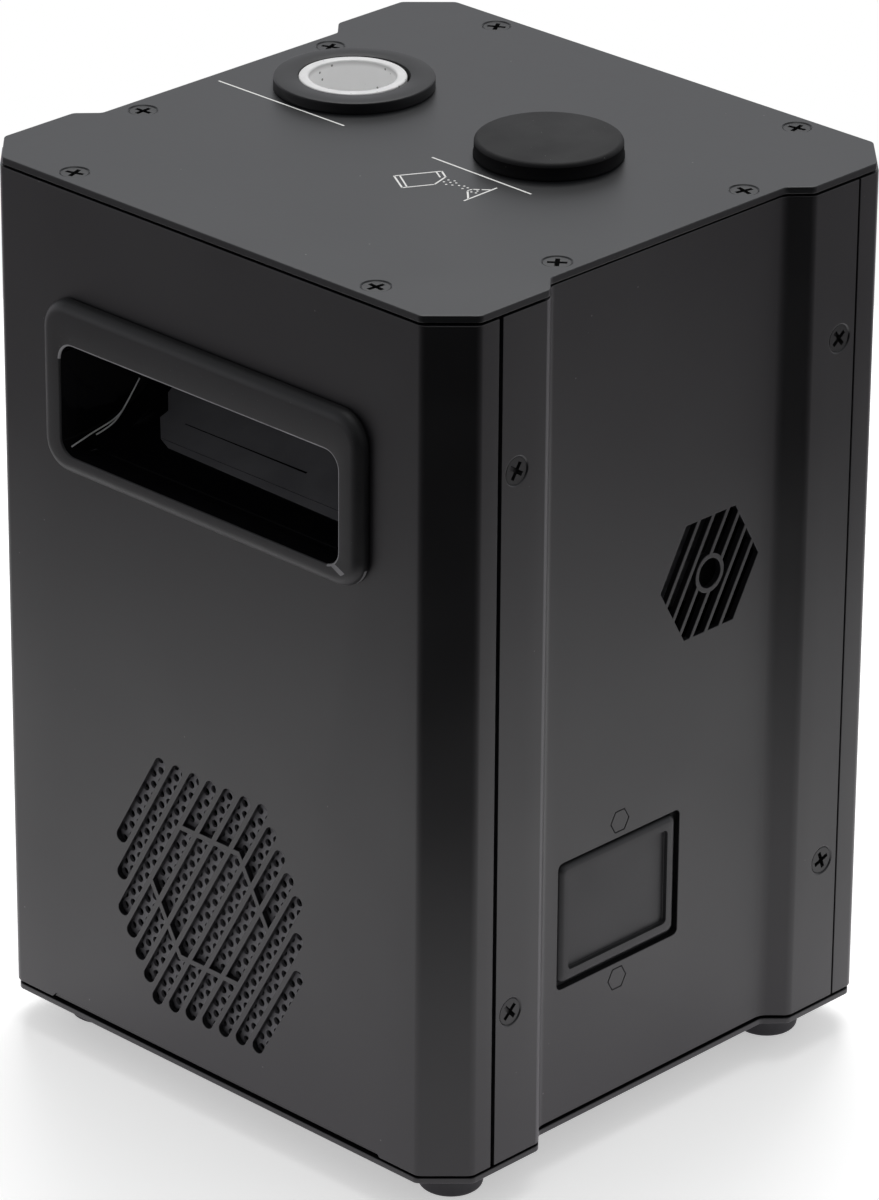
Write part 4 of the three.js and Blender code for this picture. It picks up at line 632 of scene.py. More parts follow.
def side_path():
    """Outer face of the right side sheet, seen from above, with its stepped recess."""
    half = [(strip_x, -strip), (recess_x, -recess_half)]
    dip = half + [(x, -y) for x, y in reversed(half)]
    return [(strip_x, -seam + front_gap / 2), *dip, (strip_x, seam - rear_gap / 2)]


def sheet_metal(path):
    """A folded sheet as a closed wall, its metal on the left of the path."""
    return walled(folded_sheet(path, sheet, bend, hollow_bend, foot_z, head_z), sheet, -1)


def block(x0, x1, y0, y1, z0, z1):
    """A plain block between two corners."""
    return plate([(x0, y0), (x1, y0), (x1, y1), (x0, y1)], z0, z1)


def laps():
    """The strips behind both seams, which the side sheets lie against."""
    inner, outer = strip_x - 2 * sheet - 0.04, strip_x - sheet - 0.02
    spans = (-outer, -inner), (inner, outer)
    return [block(*span, -seam - 5, -strip - 3, foot_z, head_z) for span in spans]


def flanges():
    """The inward flanges at the head and foot of an end sheet."""
    half, y0, y1 = flange_length / 2, -face_y + sheet / 2, -face_y + sheet + 11.5
    return [block(-half, half, y0, y1, z, z + sheet) for z in (foot_z, head_z - sheet)]


# Middles of the handle and its opening, and of the intake with the slant of its slots
handle_x, handle_z, opening_z = 0.3, 180.0, 177.3
opening_width, opening_height, opening_corner = 92, 28.2, 4.2
vent_x, vent_z = -0.6, 58.8
slant = math.radians(60)


def intake_slot(offset):
    """One slanted slot of the intake, as long as the clipped hexagon lets it be."""
    c, s = math.cos(slant), math.sin(slant)
    to_flat, to_tip = 31.6, 30

    def end(d):
        return min((to_flat - d * c) / s, (to_flat + d * c) / s, (to_tip + d * s) / c)

    low, high = -end(-offset), end(offset)
    width = 3.5
    form = plate(
        rectangle(high - low + width, width), -5, 5, corner=width / 2 - 0.002, steps=10,
        centre=((low + high) / 2, 0),
    )
    facing(form, "y")
    turn = Matrix.Rotation(-slant, 4, "Y")
    return placed(form, Matrix.Translation((vent_x - offset * s, -face_y, vent_z + offset * c)) @ turn)


def hexagon(inradius, low, high, at, axis):
    """A hexagonal prism, one corner on its drawing plane's first axis."""
    corner = inradius / math.cos(math.pi / 6)
    ways = [math.radians(60 * i) for i in range(6)]
    points = [(corner * math.cos(a), corner * math.sin(a)) for a in ways]
    return upright(plate(points, low, high), axis, at)


slots = gathered([intake_slot((i - 6) * 5) for i in range(13)])
vent_at = (vent_x, -face_y, vent_z)
ring = carved(hexagon(18.25, -7, 7, vent_at, "y"), hexagon(16.75, -9, 9, vent_at, "y"))
intake = carved(slots, ring)
mouth = upright(
    plate(rectangle(96.2, 32.4), -6, 6, corner=6.3, steps=10), "y", (0, -face_y, opening_z),
)
relief = [(-56.55, -3), (56.55, -3), (56.55, 0), (55.25, 1.3), (-55.25, 1.3), (-56.55, 0)]
relief = upright(plate(relief, -3, 0.75), "y", (0, -face_y, foot_z))
front = carved(sheet_metal(wrap_path(front_gap)), *flanges(), operation="UNION")
front = carved(front, mouth, relief, intake)
finished(
    gathered([front, *laps()]), "front_panel_coated", side_coat, stands_for=["front_panel"], edge=0.16,
)


def bore(radius, x, z):
    """A round hole through the rear sheet."""
    return upright(turned([(0, -4), (radius, -4), (radius, 4), (0, 4)]), "y", (x, face_y, z))


def cut_out(width, height, x, z):
    """A rectangular opening through the rear sheet."""
    return upright(plate(rectangle(width, height), -4, 4), "y", (x, face_y, z))


about = Matrix.Rotation(math.pi, 4, "Z")
rear = carved(sheet_metal(wrap_path(rear_gap)), *flanges(), operation="UNION")
placed(rear, about)
rear = carved(
    rear, cut_out(46.6, 16.6, 0, 196), cut_out(27.8, 36.6, 26, 50), cut_out(14, 21, -26, 50),
    bore(12.1, -28, 128), bore(12.1, 28, 128), *[bore(4.3, 16 * i - 24, 174) for i in range(4)],
)
rear_laps = [placed(lap, about) for lap in laps()]
finished(
    gathered([rear, *rear_laps]), "rear_panel_coated", side_coat, stands_for=["rear_panel"], edge=0.16,
)

# Middles of the card reader and of the outlet, along y and up
reader_at, outlet_at = (-12.6, 64.2), (16.9, 139.6)


def side_panel(opening=True):
    """The right side sheet with its hexagonal outlet and countersinks, and round the card reader its
    opening and the seams of two flush hexagonal studs."""
    outward = Matrix.Rotation(math.pi / 2, 4, "Y")
    tools = [countersink((strip_x - 0.15, y, z), outward, depth=5) for y, z in side_screws]
    centre = Vector((recess_x, *outlet_at))
    bar_width = 1.2
    gap = (29.4 - 6 * bar_width) / 7
    bars = []
    for i in range(6):
        bar = block(-6, 6, -40, 40, -0.6, 0.6)
        placed(bar, Matrix.Translation((0, 0, (i - 2.5) * (gap + bar_width))))
        bars.append(placed(bar, Matrix.Translation(centre) @ Matrix.Rotation(slant, 4, "X")))
    hub = upright(turned([(0, -6), (4.95, -6), (4.95, 6), (0, 6)], steps=48), "x", centre)
    eye = upright(turned([(0, -4), (3.7, -4), (3.7, 4), (0, 4)], steps=48), "x", centre)
    tools.append(gathered([carved(hexagon(14.7, -4, 4, centre, "x"), *bars, hub), eye]))
    if opening:
        tools.append(upright(
            plate(rectangle(41.9, 33.3), -4, 4, corner=1.5), "x", (recess_x, *reader_at),
        ))
        for z in (reader_at[1] - 20.9, reader_at[1] + 20.9):
            place = (recess_x, reader_at[0], z)
            tools.append(carved(hexagon(2.75, -0.1, 4, place, "x"), hexagon(2.63, -2, 6, place, "x")))
    flange = block(63, 72.3, -34.4, 34.4, head_z - sheet, head_z)
    return carved(carved(sheet_metal(side_path()), flange, operation="UNION"), *tools)


def front_bend(place):
    """Whether a place is on the bend where a side sheet steps back from its front strip."""
    return abs(place.x) > strip_x - 1 and -strip - 1.4 < place.y < -strip + 1.4


right = finished(
    side_panel(), "right_side_coated", side_coat, stands_for=["right_side_panel"], edge=0.16,
)
# The front bends of both side sheets get the painted highlight
refinished(right, bend_highlight_coat, front_bend)
left = placed(side_panel(opening=False), Matrix.Scale(-1, 4, (1, 0, 0)))
bmesh.ops.reverse_faces(left, faces=left.faces)
left = finished(left, "left_side_coated", side_coat, stands_for=["left_side_panel"], edge=0.16)
refinished(left, bend_highlight_coat, front_bend)

# Handle: a rubbery rim let into the front, round a gloss scoop
rim = [(opening_width, opening_height, opening_corner, -74.2, -2.7)]
rim += [(opening_width + 2 * d, opening_height + 2 * d, opening_corner + d, -z, -2.7)
        for d, z in eased(0.5, 79.2)]
rim += [(105.4 - 2 * d, 43.6 - 2 * d, 8 - d, -z, 0) for d, z in reversed(eased(3.0, 76.7, 8))]
rim += [(105.4, 43.6, 8, -76.5, 0), (105, 43.2, 7.8, -76.2, 0)]
rim += [(95.6, 31.8, 6, -76.2, -2.7), (95.6, 31.8, 6, -74.2, -2.7)]
rim = facing(moulding(rim, centre=(handle_x, handle_z), steps=10, hollow=True), "y")
rim = finished(rim, "handle_rim_rubber", rim_rubber, stands_for=["handle_bezel"], sharp=40)


def rim_lip(place):
    """Whether a place is on the rim's lip round the opening, or on the wall behind it."""
    return abs(place.x - handle_x) < 46.6 and abs(place.z - opening_z) < 14.7


refinished(rim, gloss_black, lambda p: rim_lip(p) and p.y > -79.25)
# Painted highlight on the lip's top and right side, and on the rim's lower outer edge
refinished(rim, rim_highlight, lambda p: rim_lip(p) and p.y <= -79.25 and (p.z - opening_z > 9 or p.x > 43)
           or not rim_lip(p) and p.y > -77.3 and p.z - opening_z < -14)

# The scoop: where its skin and its mouth plate begin along y, its back, its floor, roof and curve
scoop_y, scoop_front, scoop_back = -73.9, -71.9, -37.9
scoop_low, scoop_high, scoop_radius = 163.2, 204.0, 46


def scoop():
    """The pocket behind the rim: a curved floor that rises into a flat back, open towards the front."""
    bm = bmesh.new()
    start = bm.verts.new((scoop_y, scoop_low, 0))
    sweep = math.asin(36 / scoop_radius)
    bmesh.ops.spin(
        bm, geom=[start], cent=(scoop_y, scoop_low + scoop_radius, 0), axis=(0, 0, 1), angle=sweep,
        steps=24, use_merge=False,
    )
    chain = sorted(bm.verts, key=lambda v: v.co.x)
    corner = bm.verts.new((scoop_back, scoop_high, 0))
    last = bm.verts.new((scoop_y, scoop_high, 0))
    bm.edges.new((chain[-1], corner))
    bm.edges.new((corner, last))
    bm.edges.new((last, chain[0]))
    bmesh.ops.contextual_create(bm, geom=bm.edges[:])
    bmesh.ops.bevel(bm, geom=[corner], offset=5, segments=8, profile=0.5, affect="VERTICES", material=-1)
    bmesh.ops.translate(bm, vec=(0, 0, -opening_width / 2), verts=bm.verts)
    raised(bm, opening_width)
    split(bm, (scoop_front, 0, 0), (1, 0, 0), clear_inner=True)
    rounds = [e for e in bm.edges if not e.is_boundary and abs(e.calc_face_angle(0) - math.pi / 2) < 0.02
              and abs(e.verts[0].co.z - e.verts[1].co.z) < 1e-6]
    bmesh.ops.bevel(
        bm, geom=rounds, offset=4, segments=8, profile=0.5, affect="EDGES", material=-1,
        clamp_overlap=False,
    )
    bmesh.ops.recalc_face_normals(bm, faces=bm.faces)
    return facing(bm, "x")


mouth_plate = carved(
    plate(rectangle(104, 52.8), scoop_y, scoop_front, corner=4.2, centre=(0, 183.6)),
    plate(rectangle(opening_width, opening_height), -80, -60, corner=opening_corner, steps=10,
          centre=(0, opening_z)),
)
finished(gathered([walled(scoop(), 2, 1), facing(mouth_plate, "y")]), "handle_scoop_gloss", gloss_black,
         stands_for=["handle_pocket"], sharp=40)


def laid(outline, height, thickness):
    """A thin layer on the scoop's curved floor. Its outline is in millimetres along x and in degrees
    up the curve."""
    bm = plate(outline, height, height + thickness)
    for angle in range(12, 36, 2):
        split(bm, (0, angle, 0), (0, 1, 0))
    for vert in bm.verts:
        along, angle, rise = vert.co
        reach_down = scoop_radius - rise
        vert.co = (along, scoop_y + reach_down * math.sin(math.radians(angle)),
                   scoop_low + scoop_radius - reach_down * math.cos(math.radians(angle)))
    bmesh.ops.recalc_face_normals(bm, faces=bm.faces)
    return bm


# Outlines of the painted reflection on the scoop's floor, and of a dark line across it
upper = [(-41.5, 35.5), (-41.5, 33), (-37.4, 27.4), (-37.8, 24.2), (-32.2, 17.4), (40, 17.4), (40, 35.5)]
lower = [(-32, 17.1), (-27.6, 14.8), (40, 13.4), (40, 17.1)]
reflection_line = [(-30, 25.2), (10.6, 25.15), (10.6, 25.75), (-30, 25.45)]
finished(gathered([laid(upper, 0.05, 0.1), laid(lower, 0.05, 0.16)]), "scoop_floor_painted_reflection", scoop_reflection_grey)
finished(laid(reflection_line, 0.17, 0.02), "scoop_floor_reflection_line", gloss_black)


def edge_light(points, name):
    """A painted highlight: a fine bright line on the scoop's left end wall, where the wall rounds into the
    floor.
    """
    data = bpy.data.curves.new(name, "CURVE")
    data.dimensions = "3D"
    data.bevel_depth, data.bevel_resolution, data.use_fill_caps = 0.2 * MM, 2, True
    line = data.splines.new("NURBS")
    line.points.add(len(points) - 1)
    for point, (y, z) in zip(line.points, points):
        into_scoop = max(0, y - scoop_y)
        floor_here = scoop_low + scoop_radius - math.sqrt(scoop_radius ** 2 - into_scoop ** 2)
        corner, end_wall = (4.0, -46) if y > -72 else (4.2, -45.7)
        into = max(0, corner - (z - floor_here))
        point.co = ((end_wall + corner - math.sqrt(corner ** 2 - into ** 2)) * MM, y * MM, z * MM, 1)
    line.order_u, line.use_endpoint_u = 3, True
    data.materials.append(painted_edge_highlight)
    made = bpy.data.objects.new(name, data)
    bpy.context.scene.collection.objects.link(made)
    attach(made, "casing")


edge_light(
    [(-77.4, 164.5), (-73.2, 165.1), (-69.1, 165.6), (-61.2, 167.0), (-57.2, 170.5), (-53.9, 174.6)],
    "scoop_end_highlight_long",
)
edge_light([(-57.4, 170.3), (-60.5, 167.4), (-64.4, 165.6), (-69.0, 164.9)], "scoop_end_highlight_short")

# Card reader: a moulded face with rounded edges and a sunk pad, let into its opening
reader_face = recess_x - 0.1
face = [(40.1, 31.5, 1.9, reader_face - 6.5)]
face += [(40.1 - 2 * d, 31.5 - 2 * d, 1.9 - 0.4 * d, x) for d, x in eased(1.7, reader_face - 1.7, 6)]
face += [(34.0, 25.0, 1.2, reader_face), (33.9, 24.9, 1.15, reader_face - 0.1)]
face += [(33.8, 24.8, 1.1, reader_face - 1.0), (33.6, 24.6, 1.0, reader_face - 1.1)]
face = facing(moulding(face, centre=reader_at), "x")
flange = facing(plate(rectangle(46, 51.9), 69.6, 71.2, corner=3, centre=reader_at), "x")
finished(gathered([face, flange]), "card_reader_face", moulded_black,
         stands_for=["card_reader_window"], sharp=40)

# Nozzle, cap and feet are turned
ring_profile = [(13.5, plate_z - 6), (16, plate_z - 6), (16, plate_z + 0.1)]
ring_profile += [(19.4, plate_z + 0.1), (19.5, plate_z + 0.2)]
ring_profile += [(19.5 - d, z) for d, z in eased(0.35, ring_top - 0.35, 3)]
ring_profile += [(13.5 + d, z) for d, z in reversed(eased(0.25, ring_top - 0.25, 2))]
finished(turned(ring_profile + ring_profile[:1], at=nozzle_at, steps=128), "nozzle_ring", anodised,
         stands_for=["nozzle_flange"], sharp=40)
tube_profile = [(10.55, ring_top - 46), (13.05, ring_top - 46)]
tube_profile += [(13.05 - d, z) for d, z in eased(0.4, ring_top - 0.4, 3)]
tube_profile += [(10.55 + d, z) for d, z in reversed(eased(0.5, ring_top - 0.5, 3))]
finished(turned(tube_profile + tube_profile[:1], at=nozzle_at + Vector((-0.24, -0.24, 0)), steps=128),
         "nozzle_ceramic", ceramic, stands_for=["nozzle_tube"], sharp=40)
cap_profile = [(0, plate_z + 4.4)]
cap_profile += [(17.6 - d, z) for d, z in reversed(eased(1.1, plate_z + 3.3, 6))]
cap_profile += [(17.6, plate_z + 1.0), (17.8, plate_z + 0.7), (17.8, plate_z + 0.2)]
cap_profile += [(17.7, plate_z + 0.1), (12.6, plate_z + 0.1), (12.6, plate_z - 4), (13.2, plate_z - 4.5)]
cap_profile += [(12.6, plate_z - 5), (12.6, plate_z - 7.8), (12.4, plate_z - 8), (10, plate_z - 8)]
cap_profile += [(10, plate_z - 2), (0, plate_z - 2)]
cap = finished(turned(cap_profile, at=hopper_at, steps=128), "hopper_cap_rubber", cap_rubber, body="cap",
               stands_for=["hopper_cap"], sharp=40)
# Painted shade: the cap's side takes the darker copy of the rubber
refinished(cap, cap_side_shade, lambda p: plate_z < p.z < plate_z + 3.4 and (p.xy - hopper_at.xy).length > 17)
for node in ("foot_front_left", "foot_front_right", "foot_rear_right", "foot_rear_left"):
    x, y, _ = middle(node)
    profile = [(0, 5.2), (3.6, 5.2), (3.6, 0.4), (4.0, 0), (6.3, 0)]
    # The foot's lower edge, rounded in six steps
    for a in (0.26, 0.52, 0.79, 1.05, 1.31, 1.57):
        profile.append((6.3 + 1.5 * math.sin(a), 1.5 - 1.5 * math.cos(a)))
    profile += [(9.2, 9.9), (9.5, 10.2), (9.5, base_under - 0.1), (1.9, base_under - 0.1)]
    profile += [(1.9, base_top), (0, base_top)]
    finished(turned(profile, at=(x, y, 0)), node + "_rubber", foot_rubber, stands_for=[node], sharp=40)


def cross_screw(place, matrix, turn):
    """A countersunk M4 screw with a cross recess, its head's face at z = 0."""
    outline = [(0, -9), (1.7, -9), (1.9, -8.7), (1.9, -1.6), (3.32, -0.14), (3.36, -0.1), (3.22, 0)]
    shank = turned(outline, steps=40)
    # Half the width and half the length of the cross
    a, b = 0.55, 2.3
    arms = [(a, b), (-a, b), (-a, a), (-b, a), (-b, -a), (-a, -a)]
    arms += [(-x, -y) for x, y in arms]
    cross = shank.faces.new([shank.verts.new((x, y, 0)) for x, y in arms])
    sunk = bmesh.ops.extrude_discrete_faces(shank, faces=[cross])["faces"][0]
    bmesh.ops.translate(shank, vec=(0, 0, -1.7), verts=sunk.verts)
    bmesh.ops.scale(shank, vec=(0.78, 0.78, 1), verts=sunk.verts)
    bmesh.ops.remove_doubles(shank, verts=shank.verts, dist=1e-4)
    rim_edges = [e for e in shank.edges if e.is_boundary]
    bmesh.ops.bridge_loops(shank, edges=rim_edges)
    bmesh.ops.recalc_face_normals(shank, faces=shank.faces)
    return placed(shank, Matrix.Translation(place) @ matrix @ Matrix.Rotation(math.radians(turn), 4, "Z"))


turns = [18, -6, 12, 31, 3, 40, -14, 22]
for i in range(8):
    node = f"top_screw_{i + 1}"
    x, y, _ = middle(node)
    place = (x, y, reach(node)[1].z - 0.05)
    finished(cross_screw(place, Matrix.Identity(4), turns[i]), node + "_cross", black_oxide,
             stands_for=[node], sharp=30)
for side, name in ((1, "right"), (-1, "left")):
    outward = Matrix.Rotation(side * math.pi / 2, 4, "Y")
    for i in range(4):
        node = f"{name}_side_screw_{i + 1}"
        _, y, z = middle(node)
        place = (side * (strip_x - 0.2), y, z)
        finished(cross_screw(place, outward, turns[i] + 25), node + "_cross", black_oxide,
                 stands_for=[node], sharp=30)


def perforated(width, height, hole, pitch, thickness):
    """Sheet with round holes in staggered rows, one row upright."""
    cell = bmesh.new()
    bmesh.ops.create_circle(cell, segments=12, radius=hole / 2)
    grown = bmesh.ops.extrude_edge_only(cell, edges=cell.edges[:])
    for vert in corners_of(grown["geom"]):
        angle = math.degrees(math.atan2(vert.co.y, vert.co.x))
        corner = abs((angle + 30) % 60 - 30) < 1
        vert.co.xy = vert.co.xy.normalized() * (pitch / 2 / (math.cos(math.pi / 6) if corner else 1))
    mesh = bpy.data.meshes.new("cell")
    cell.to_mesh(mesh)
    cell.free()
    bm = bmesh.new()
    column = pitch * math.cos(math.pi / 6)
    aside, upward = 0.21, 0.33
    across, up = int(width / 2 / column) + 1, int(height / 2 / pitch) + 1
    for i in range(-across, across + 1):
        for k in range(-up, up + 1):
            before = len(bm.verts)
            bm.from_mesh(mesh)
            bm.verts.ensure_lookup_table()
            place = (i * column + aside, (k + (i % 2) / 2) * pitch + upward, 0)
            bmesh.ops.translate(bm, vec=place, verts=bm.verts[before:])
    bmesh.ops.remove_doubles(bm, verts=bm.verts, dist=1e-3)
    for sign in (-1, 1):
        split(bm, (sign * width / 2, 0, 0), (sign, 0, 0), clear_outer=True)
        split(bm, (0, sign * height / 2, 0), (0, sign, 0), clear_outer=True)
    raised(bm, thickness)
    bmesh.ops.recalc_face_normals(bm, faces=bm.faces)
    return bm


low, high = reach("vent_mesh")
x, _, z = middle("vent_mesh")
mesh_form = perforated(high.x - low.x, high.z - low.z, hole=2, pitch=3, thickness=high.y - low.y)
upright(mesh_form, "y", (x + 0.4, low.y - 0.3, z + 0.3))
finished(mesh_form, "vent_mesh_perforated", mesh_coat, stands_for=["vent_mesh"], sharp=30)

# Printing on the top plate: two dividing lines and a picture of powder being poured
ink_low, ink_high = plate_z - 0.01, plate_z + 0.025


def stroke(x0, y0, x1, y1, width):
    """A straight printed line between two points of the top plate."""
    length = math.hypot(x1 - x0, y1 - y0)
    line = plate(rectangle(length + width * 0.6, width), ink_low, ink_high)
    turn = Matrix.Rotation(math.atan2(y1 - y0, x1 - x0), 4, "Z")
    return placed(line, Matrix.Translation(((x0 + x1) / 2, (y0 + y1) / 2, 0)) @ turn)


# Points of the picture, read from the photograph
bag = [(4.6, -19.7), (11.2, -23.7), (15.0, -16.9), (13.5, -11.7), (10.3, -9.7)]
pile = [(26.8, -17.9), (23.5, -14.7), (23.1, -13.9), (23.4, -12.9), (24.5, -12.0)]
grains = [(15.3, -12.6), (15.4, -14.2), (16.7, -13.4), (16.7, -12.0), (16.9, -15.0), (18.2, -14.3)]
grains += [(17.9, -12.7), (19.5, -13.4), (20.6, -12.8), (21.4, -14.2), (21.9, -13.0), (24.3, -14.3)]
grains += [(25.5, -14.0), (24.9, -12.9)]
strokes = [stroke(-69.2, -4.85, -26.8, -4.85, 0.5), stroke(2.6, -4.9, 34.8, -5.5, 0.5)]
strokes += [stroke(*a, *b, 0.45) for a, b in zip(bag, bag[1:] + bag[:1])]
strokes += [stroke(5.4, -18.6, 11.7, -22.6, 0.4), stroke(9.9, -11.0, 12.7, -12.7, 0.4)]
strokes += [stroke(*a, *b, 0.45) for a, b in zip(pile, pile[1:])]
strokes += [stroke(27.0, -19.4, 26.7, -8.4, 0.45), stroke(25.1, -11.5, 26.5, -10.2, 0.45)]
for x, y in grains:
    grain = turned([(0, ink_low), (0.3, ink_low), (0.3, ink_high), (0, ink_high)], steps=8)
    strokes.append(placed(grain, Matrix.Translation((x, y, 0))))
finished(gathered(strokes), "top_printing", white_ink)

# Rear fittings. They keep their CAD shapes, with eased edges and the finish of each of their parts

def cad_copy(node):
    """A copy of a CAD node's mesh in millimetres, its loose triangles merged into flat faces."""
    bm = bmesh.new()
    bm.from_mesh(nodes[node].data)
    bmesh.ops.scale(bm, vec=(1 / MM, 1 / MM, 1 / MM), verts=bm.verts)
    bmesh.ops.remove_doubles(bm, verts=bm.verts, dist=1e-3)
    bmesh.ops.dissolve_limit(bm, angle_limit=math.radians(0.5), verts=bm.verts, edges=bm.edges)
    return bm


backward = Matrix.Rotation(-math.pi / 2, 4, "X")
small = Matrix.Scale(0.78, 4)
contacts = [(6.2 * math.cos(a), 6.2 * math.sin(a)) for a in (math.pi / 4, 3 * math.pi / 4, 3 * math.pi / 2)]


def contact(place, x, z, radius):
    """Whether a place is within a radius of one of a signal socket's three contacts."""
    return any(math.hypot(place.x - x - dx, place.z - z - dz) < radius for dx, dz in contacts)


for node in ("signal_input", "signal_output"):
    x, _, z = middle(node)
    front_y = face_y - 0.12 + 2.7
    heads = [(x + s * 9.5, front_y, z - s * 12.0) for s in (-1, 1)]
    stands = [Matrix.Translation(at) @ backward @ small for at in heads]
    shell = carved(cad_copy(node), *[countersink((0, 0, 0), stand) for stand in stands])
    shell = finished(shell, node + "_shell", nickel, stands_for=[node], edge=0.18)
    if node == "signal_input":
        refinished(shell, nylon_black,
                   lambda p: p.y < front_y - 13.8 and math.hypot(p.x - x, p.z - z) < 9.6)
        refinished(shell, gold, lambda p: contact(p, x, z, 1.35) and p.y > front_y - 13.9)
    else:
        refinished(shell, nylon_black,
                   lambda p: math.hypot(p.x - x, p.z - z) < 8.1 and -14.2 < p.y - front_y < -0.6)
        refinished(shell, gold, lambda p: contact(p, x, z, 1.5) and p.y < front_y - 1.4)
        refinished(shell, moulded_black,
                   lambda p: abs(p.x - x) < 4.7 and p.z > z + 9.8 and p.y > front_y + 0.02)
    for i, stand in enumerate(stands):
        screw = cross_screw((0, 0, 0), stand, turns[i] + 10)
        finished(screw, f"{node}_screw_{i + 1}", black_oxide, sharp=30)

front_y = reach("mains_inlet")[1].y
inlet = finished(
    cad_copy("mains_inlet"), "mains_inlet_body", nylon_black, stands_for=["mains_inlet"], edge=0.2,
)
blades = [(19, 54.5), (33, 54.5), (26, 60.5)]
refinished(inlet, nickel, lambda p: any(abs(p.x - x) < 1.15 and abs(p.z - z) < 2.15 for x, z in blades)
           and front_y - 16.95 < p.y < front_y - 1)
refinished(inlet, nickel, lambda p: p.y < front_y - 24.1)
finished(cad_copy("fuse_drawer"), "fuse_drawer_tray", nylon_black, body="fuse_tray",
         stands_for=["fuse_drawer"], edge=0.18)
finished(cad_copy("rocker_housing"), "rocker_housing_body", nylon_black,
         stands_for=["rocker_housing"], edge=0.18)
finished(cad_copy("power_rocker"), "power_rocker_lever", gloss_black, body="rocker",
         stands_for=["power_rocker"], edge=0.4, steps=4)
# The lever's marks lie on its two slopes, and it rests tilted
tilt = math.radians(10)
pivot = Matrix.Translation((-26, half_depth - 2.2, 50)) @ Matrix.Rotation(tilt, 4, "X")
slope = math.atan2(1.6, 8.2)
bar = facing(plate(rectangle(0.7, 3.2), 0, 0.04), "y")
placed(bar, pivot @ Matrix.Translation((0, 3.9, 4.6)) @ Matrix.Rotation(-slope, 4, "X"))
circle = facing(turned([(1.0, 0), (1.6, 0), (1.6, 0.04), (1.0, 0.04), (1.0, 0)], steps=32), "y")
placed(circle, pivot @ Matrix.Translation((0, 3.9, -4.6)) @ Matrix.Rotation(slope, 4, "X"))
finished(gathered([bar, circle]), "power_rocker_marks", white_ink, body="rocker")

for i in range(1, 5):
    node = f"menu_key_{i}"
    x, _, z = middle(node)
    foot, tip = (corner.y for corner in reach(node))
    profile = [(0, foot), (1.8, foot), (1.8, foot + 3.2), (5, foot + 3.2), (5, foot + 4.4), (4, foot + 4.4)]
    profile += [(4 - d, y) for d, y in eased(0.6, tip - 0.6, 4)]
    profile += [(2.5, tip - 0.12), (1.3, tip - 0.28), (0, tip - 0.34)]
    key = upright(turned(profile, steps=48), "y", (x, 0, z))
    finished(key, node + "_cap", key_silicone, body=f"key_{i}", stands_for=[node], sharp=40)
finished(cad_copy("display_window"), "display_lens", smoked_lens, stands_for=["display_window"], edge=0.15)
screen = plate(rectangle(39.5, 10.6), 0, 0.03, corner=0.4)
upright(screen, "y", (0, reach("display_window")[1].y, 196))
finished(screen, "display_screen", unlit_glass)

# Plain marks printed under the keys: three bars, up, down and a ring
marks = [plate(rectangle(3.0, 0.45), 0, 0.03, centre=(24, 1.1 * k)) for k in (-1, 0, 1)]
for x, sign in ((8, 1), (-8, -1)):
    marks.append(plate([(x - 1.5, -sign * 1.2), (x + 1.5, -sign * 1.2), (x, sign * 1.4)], 0, 0.03))
marks.append(turned([(1.0, 0), (1.5, 0), (1.5, 0.03), (1.0, 0.03), (1.0, 0)], at=(-24, 0, 0), steps=32))
marks = upright(gathered(marks), "y", (0, face_y + 0.005, 165.5))
finished(marks, "rear_printing", white_ink)

# Finishes of the CAD nodes that keep their own shape
carried = {
    "card_reader_board": board_green, "main_board": board_green, "power_supply": board_green,
    "control_board": board_green, "heating_chamber": aluminium, "heater_band": steel, "heat_shield": steel,
    "powder_hopper": steel, "feed_tube": aluminium, "feed_auger": steel, "feed_gearmotor": steel,
    "blower_housing": nylon_black, "blower_impeller": nylon_black,
    "cooling_fan_frame": nylon_black, "cooling_fan_rotor": nylon_black,
}
for node, material in carried.items():
    mesh = nodes[node].data
    for i in range(len(mesh.materials)):
        mesh.materials[i] = material
    if not mesh.materials:
        mesh.materials.append(material)


# Pale table, white surroundings and soft lamps
table = bpy.data.meshes.new("table")
form = turned([(0, 0), (0.38 / MM, 0)], at=(-80, 80, 0), steps=96)
bmesh.ops.scale(form, vec=(MM, MM, MM), verts=form.verts)
form.to_mesh(table)
form.free()
floor = bpy.data.objects.new("table", table)
bpy.context.scene.collection.objects.link(floor)


def seen(tree):
    """1 where the background is looked at straight, in a reflection or through glass."""
    path = add(tree, "ShaderNodeLightPath")
    pair = add(tree, "ShaderNodeMath", {"operation": "MAXIMUM"}, {
        0: path.outputs["Is Camera Ray"], 1: path.outputs["Is Glossy Ray"],
    })
    return add(tree, "ShaderNodeMath", {"operation": "MAXIMUM"}, {
        0: pair.outputs[0], 1: path.outputs["Is Transmission Ray"],
    }).outputs[0]


paper, tree, coords = begin("white paper sweep")
away = add(tree, "ShaderNodeVectorMath", {"operation": "LENGTH"}, {0: coords})
# A painted pool of light on the table round the machine, seen only in reflections
glint = add(tree, "ShaderNodeMapRange", {}, {0: away.outputs["Value"], 1: 0.1, 2: 0.22, 3: 0.5, 4: 0.18})
ray = add(tree, "ShaderNodeLightPath")
shown = add(tree, "ShaderNodeMath", {"operation": "MULTIPLY"}, {
    0: ray.outputs["Is Glossy Ray"], 1: glint.outputs[0],
})
strength = add(tree, "ShaderNodeMath", {"operation": "MULTIPLY_ADD"}, {
    0: ray.outputs["Is Camera Ray"], 1: 0.45, 2: shown.outputs[0],
})
